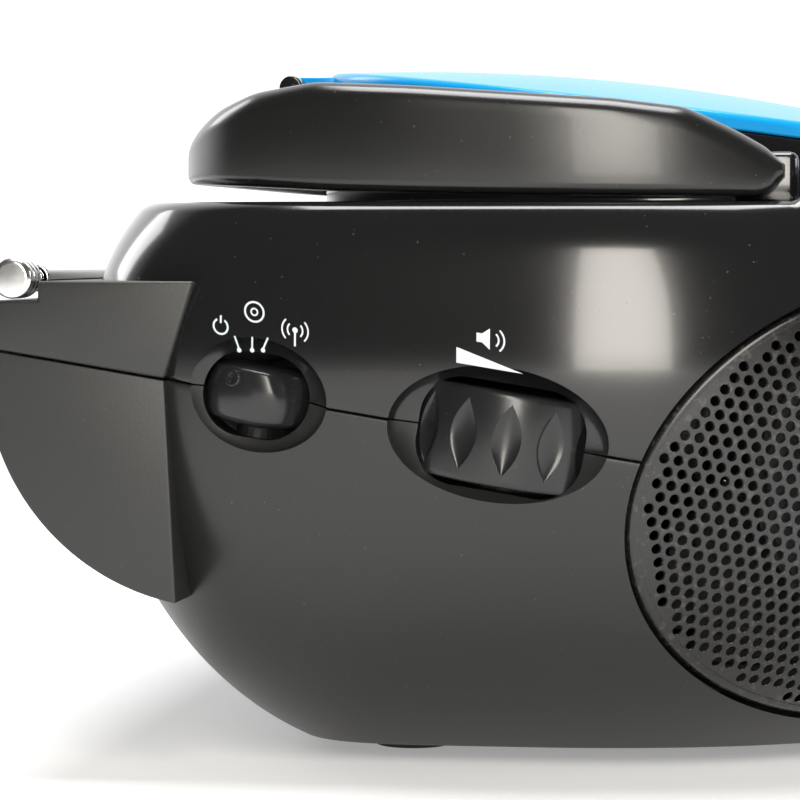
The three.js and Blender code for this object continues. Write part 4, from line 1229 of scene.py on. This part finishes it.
def disc_mark(x, z, radius, steps=24):
    spin = np.linspace(0, 2 * np.pi, steps, endpoint=False)
    return [[(x + radius * math.cos(a), z + radius * math.sin(a)) for a in spin]]


DIAL = (38.0, 64.0, 88.0)
DISPLAY = (17.0, 38.0, 55.0)
for name, (half, low_z, high_z), edge in (("dial_frame", DIAL, 1.3), ("display_frame", DISPLAY, 1.0)):
    h, a, b = half + edge / 2 + 0.3, low_z - edge / 2 - 0.3, high_z + edge / 2 + 0.3
    sides = [bar(-h, a, h, a, edge), bar(-h, b, h, b, edge), bar(-h, a, -h, b, edge), bar(h, a, h, b, edge)]
    print_patch(name, sides, on_front, steel, "case", "steel", 0.5)
SCALE_FACE = FRONT + 11.6 - 0.06


def on_scale(flat, proud):
    return np.stack([flat[:, 0], SCALE_FACE - proud + 0 * flat[:, 0], flat[:, 1]], -1)


ticks = []
for i in range(31):
    x = -33 + 2.2 * i
    ticks.append(bar(x, 79.5, x, 79.5 + (3.6 if i % 5 == 0 else 1.8), 0.35))
    if i % 2 == 0:
        ticks.append(bar(x + 0.8, 73.0, x + 0.8, 73.0 - (3.6 if i % 6 == 0 else 1.8), 0.35))
ticks += [bar(-34, 76.2, 34, 76.2, 0.4)]
print_patch("dial_marks", ticks, on_scale, satin_black, "case", "satin_black", 0.04)
digits = []
for x in (-8, 2, 12):
    for x0, z0, x1, z1 in ((-2, 0, 2, 0), (-2, 5, 2, 5), (-2, 10, 2, 10), (-2.4, 0.4, -2.4, 9.6),
                           (2.4, 0.4, 2.4, 9.6)):
        digits.append(bar(x + x0 - 2, 41.5 + z0, x + x1 - 2, 41.5 + z1, 0.7))


def behind_display(flat, proud):
    return on_front(flat, proud - 2.9)


print_patch("display_segments", digits, behind_display, scale_cream, "case", "scale_print", 0.05)
disc_sign = ring_mark(0, 31.5, 2.6, 0.45) + ring_mark(0, 31.5, 0.9, 0.45)
print_patch("panel_disc_sign", disc_sign, on_front, print_white, "case", "scale_print")
print("dial ticks:", len(ticks), "display bars:", len(digits))

# %% [markdown]
# ## Buttons
# Five caps with rounded edges. Each sign is a thin print: stop, back, play, skip and programme.

# %% Button caps
button_top = float(deck_z(BUTTON_Y)) + 1.6
signs = {
    "stop": [[(-1.5, -1.5), (1.5, -1.5), (1.5, 1.5), (-1.5, 1.5)]],
    "back": [[(0.2, 0), (2.4, -1.6), (2.4, 1.6)], [(-2.2, 0), (0, -1.6), (0, 1.6)], bar(-2.6, -1.6, -2.6, 1.6, 0.6)],
    "play": [[(-2.6, -1.6), (-0.2, 0), (-2.6, 1.6)], bar(1.0, -1.6, 1.0, 1.6, 0.7), bar(2.4, -1.6, 2.4, 1.6, 0.7)],
    "skip": [[(-2.4, -1.6), (-0.2, 0), (-2.4, 1.6)], [(0, -1.6), (2.2, 0), (0, 1.6)], bar(2.6, -1.6, 2.6, 1.6, 0.6)],
    "program": [bar(-2.2, 1.2, 2.2, 1.2, 0.5), bar(-2.2, 0, 2.2, 0, 0.5), bar(-2.2, -1.2, 0.8, -1.2, 0.5)],
}


def on_button(flat, proud):
    return np.stack([flat[:, 0], flat[:, 1], button_top + proud + 0 * flat[:, 0]], -1)


for x, (word, sign) in zip(button_xs, signs.items()):
    body = "button_" + word
    cap = boxed(body + "_cap", (x - BUTTON_W / 2, BUTTON_Y - BUTTON_D / 2, 99.6),
                (x + BUTTON_W / 2, BUTTON_Y + BUTTON_D / 2, button_top), grip_black, 1.0)
    settle(cap, body, "satin_black", body)
    placed = [[(x + p[0], BUTTON_Y + p[1]) for p in polygon] for polygon in sign]
    print_patch(body + "_sign", placed, on_button, print_white, body, "scale_print")
print("button tops at", round(button_top, 2), "mm")

# %% [markdown]
# ## Antenna
# The rod lies folded in the step of the drum. Its thick tip has turned rings where the hand takes hold.

# %% Antenna parts
def lathe_x(name, profile, material, body, slot, node=None, sides=48):
    piece = turn(name, rounded(profile, 0.3, 3), (0, ANT_Y, ANT_Z), (1, 0, 0), material, sides)
    return settle(piece, body, slot, *([node] if node else []))


TIP_X = -DRUM_END - 0.4
cap_rings = [(0.02, 0), (2.9, 0), (3.7, 0.7), (3.7, 2.6), (3.45, 2.8), (3.45, 3.3), (3.7, 3.5), (3.7, 5.4), (3.4, 5.7),
             (3.4, 6.4), (3.65, 6.7), (3.65, 8.2), (3.0, 8.7), (3.0, 10.3), (0.9, 10.5)]
lathe_x("antenna_cap", [(r, TIP_X + along) for r, along in cap_rings], cap_metal, "antenna_4", "chrome", "antenna_tip")
sections = [("antenna_1", 2.6, 2.1, -104.0, 102.0), ("antenna_2", 1.8, 1.4, -105.5, 99.0),
            ("antenna_3", 1.1, 0.8, -107.0, 96.0), ("antenna_4", 0.5, 0.02, TIP_X + 7.6, 93.0)]
for number, (body, outer, inner, start, end) in enumerate(sections, 1):
    profile = [(inner, end), (outer, end), (outer, start + 0.3), (outer - 0.2, start), (inner, start)][::-1]
    lathe_x("antenna_tube_%d" % number, profile, chrome, body, "chrome", "antenna_section_%d" % number, 40)
tongue = [(0.02, 102.0), (2.6, 102.0), (2.6, 103.8), (0.02, 103.8)]
lathe_x("antenna_tongue_plug", tongue, chrome, "antenna_1", "chrome")
settle(boxed("antenna_tongue", (103.0, ANT_Y - 1.1, ANT_Z - 1.6), (108.0, ANT_Y + 1.1, ANT_Z + 1.6), chrome, 0.2),
       "antenna_1", "chrome")
settle(turn("antenna_tongue_eye", rounded([(0.02, -1.1), (2.2, -1.1), (2.2, 1.1), (0.02, 1.1)], 0.2),
            (108.0, ANT_Y, ANT_Z), (0, 1, 0), chrome, 40), "antenna_1", "chrome")
print("antenna cap starts at x", TIP_X)

# %% [markdown]
# ## Feet
# Small turned pads that show when the player is picked up. Each one sits where its CAD foot sits.

# %% Feet
for number in range(1, 5):
    node = "rubber_foot_%d" % number
    low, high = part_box(node)
    x, y = (low[0] + high[0]) / 2 / MM, (low[1] + high[1]) / 2 / MM
    pad = turn(node + "_pad", rounded([(0.02, 0), (6.9, 0), (8.0, 0.9), (8.0, 2.7), (0.02, 2.7)], 0.4),
               (x, y, 0), (0, 0, 1), rubber, 64)
    settle(pad, "case", "rubber", node)
    print(node, "at", round(x, 1), round(y, 1))

# %% [markdown]
# ## Printed signs on the side
# White signs beside the wheels tell their use: off, disc and radio for the function knob, a loudspeaker and
# a growing wedge for the volume wheel. They are laid on the case and tilted like the parting line.

# %% Side prints
def on_side(flat, proud):
    y, z = flat[:, 0], flat[:, 1]
    return np.stack([-(side_x(y, z) + proud), y, z], -1)


def side_marks(name, y, z, marks):
    """Marks are drawn with +u towards the front and +v up, about a point on the left side."""
    c, s = math.cos(tilt), math.sin(tilt)
    placed = []
    for polygon in marks:
        placed.append([(y - p[0] * c, z + p[1] * c - p[0] * s) for p in polygon])
    print_patch(name, placed, on_side, print_white, "case", "scale_print", 0.05, 0.6)


side_marks("sign_off", 64.5, 82.0, ring_mark(0, 0, 1.35, 0.36, -240, 60) + [bar(0, 0.6, 0, 2.0, 0.36)])
side_marks("sign_disc", 58.3, 84.6, ring_mark(0, 0, 1.75, 0.36) + ring_mark(0, 0, 0.6, 0.3))
side_marks("sign_radio", 50.8, 80.4, [bar(0, -1.9, 0, 0.8, 0.36)] + disc_mark(0, 1.0, 0.5)
           + ring_mark(0, 1.0, 1.4, 0.3, -45, 45, 10) + ring_mark(0, 1.0, 1.4, 0.3, 135, 225, 10)
           + ring_mark(0, 1.0, 2.4, 0.3, -45, 45, 12) + ring_mark(0, 1.0, 2.4, 0.3, 135, 225, 12))
for name, y, lean in (("pointer_off", 61.0, -0.9), ("pointer_disc", 58.6, 0.0), ("pointer_radio", 56.6, 0.9)):
    side_marks(name, y, 78.6, [bar(lean, 1.6, 0, -0.6, 0.32)] + disc_mark(0, -0.8, 0.42))
side_marks("sign_volume", 16.5, 80.0, [[(-1.9, -0.8), (-0.9, -0.8), (-0.9, 0.8), (-1.9, 0.8)],
                                       [(-0.9, -0.8), (0.5, -1.9), (0.5, 1.9), (-0.9, 0.8)]]
           + ring_mark(0.7, 0, 1.4, 0.32, -50, 50, 12) + ring_mark(0.7, 0, 2.4, 0.32, -50, 50, 14))
side_marks("volume_wedge", 16.0, 76.2, [[(-6, 1.4), (-6, -1.4), (6, -1.4)]])

# %% [markdown]
# ## Finishes for the pieces kept from the CAD
# Everything that has no finer stand-in keeps its CAD shape and takes a finish by its material slot, except the inner
# parts seen through the openings, which are painted dark as painted shade.

# %% Slots to finishes
by_slot = {"gloss_black": gloss_black, "satin_black": satin_black, "blue_gloss": lid_blue,
           "inner_black": inner_black, "chrome": chrome, "steel": steel, "perforated_metal": grille_enamel,
           "circuit_board": board_green, "rubber": rubber, "clear_plastic": clear_window, "scale_print": scale_cream,
           "cone_paper": cone_paper, "pointer_red": pointer_red}
# Painted shade: the speaker frames, pot, tuning capacitor and switch seen through the grille holes and wheel slots get
# the dark inner finish instead of their own, so those openings read as shade. For the transformer the dark finish is
# painted shade and also stands for its varnished core.
PAINTED_SHADE_AND_VARNISH_PARTS = {"speaker_frame_left", "speaker_frame_right", "volume_pot", "tuning_capacitor", "function_switch",
            "transformer"}
finished = 0
for name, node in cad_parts.items():
    if node.type != "MESH":
        continue
    slot_name = node.data.materials[0].name.split(".")[0]
    finish = inner_black if name in PAINTED_SHADE_AND_VARNISH_PARTS else by_slot.get(slot_name, inner_black)
    node.data.materials.clear()
    node.data.materials.append(finish)
    finished += 1
print("CAD nodes given a finish:", finished)

# %% [markdown]
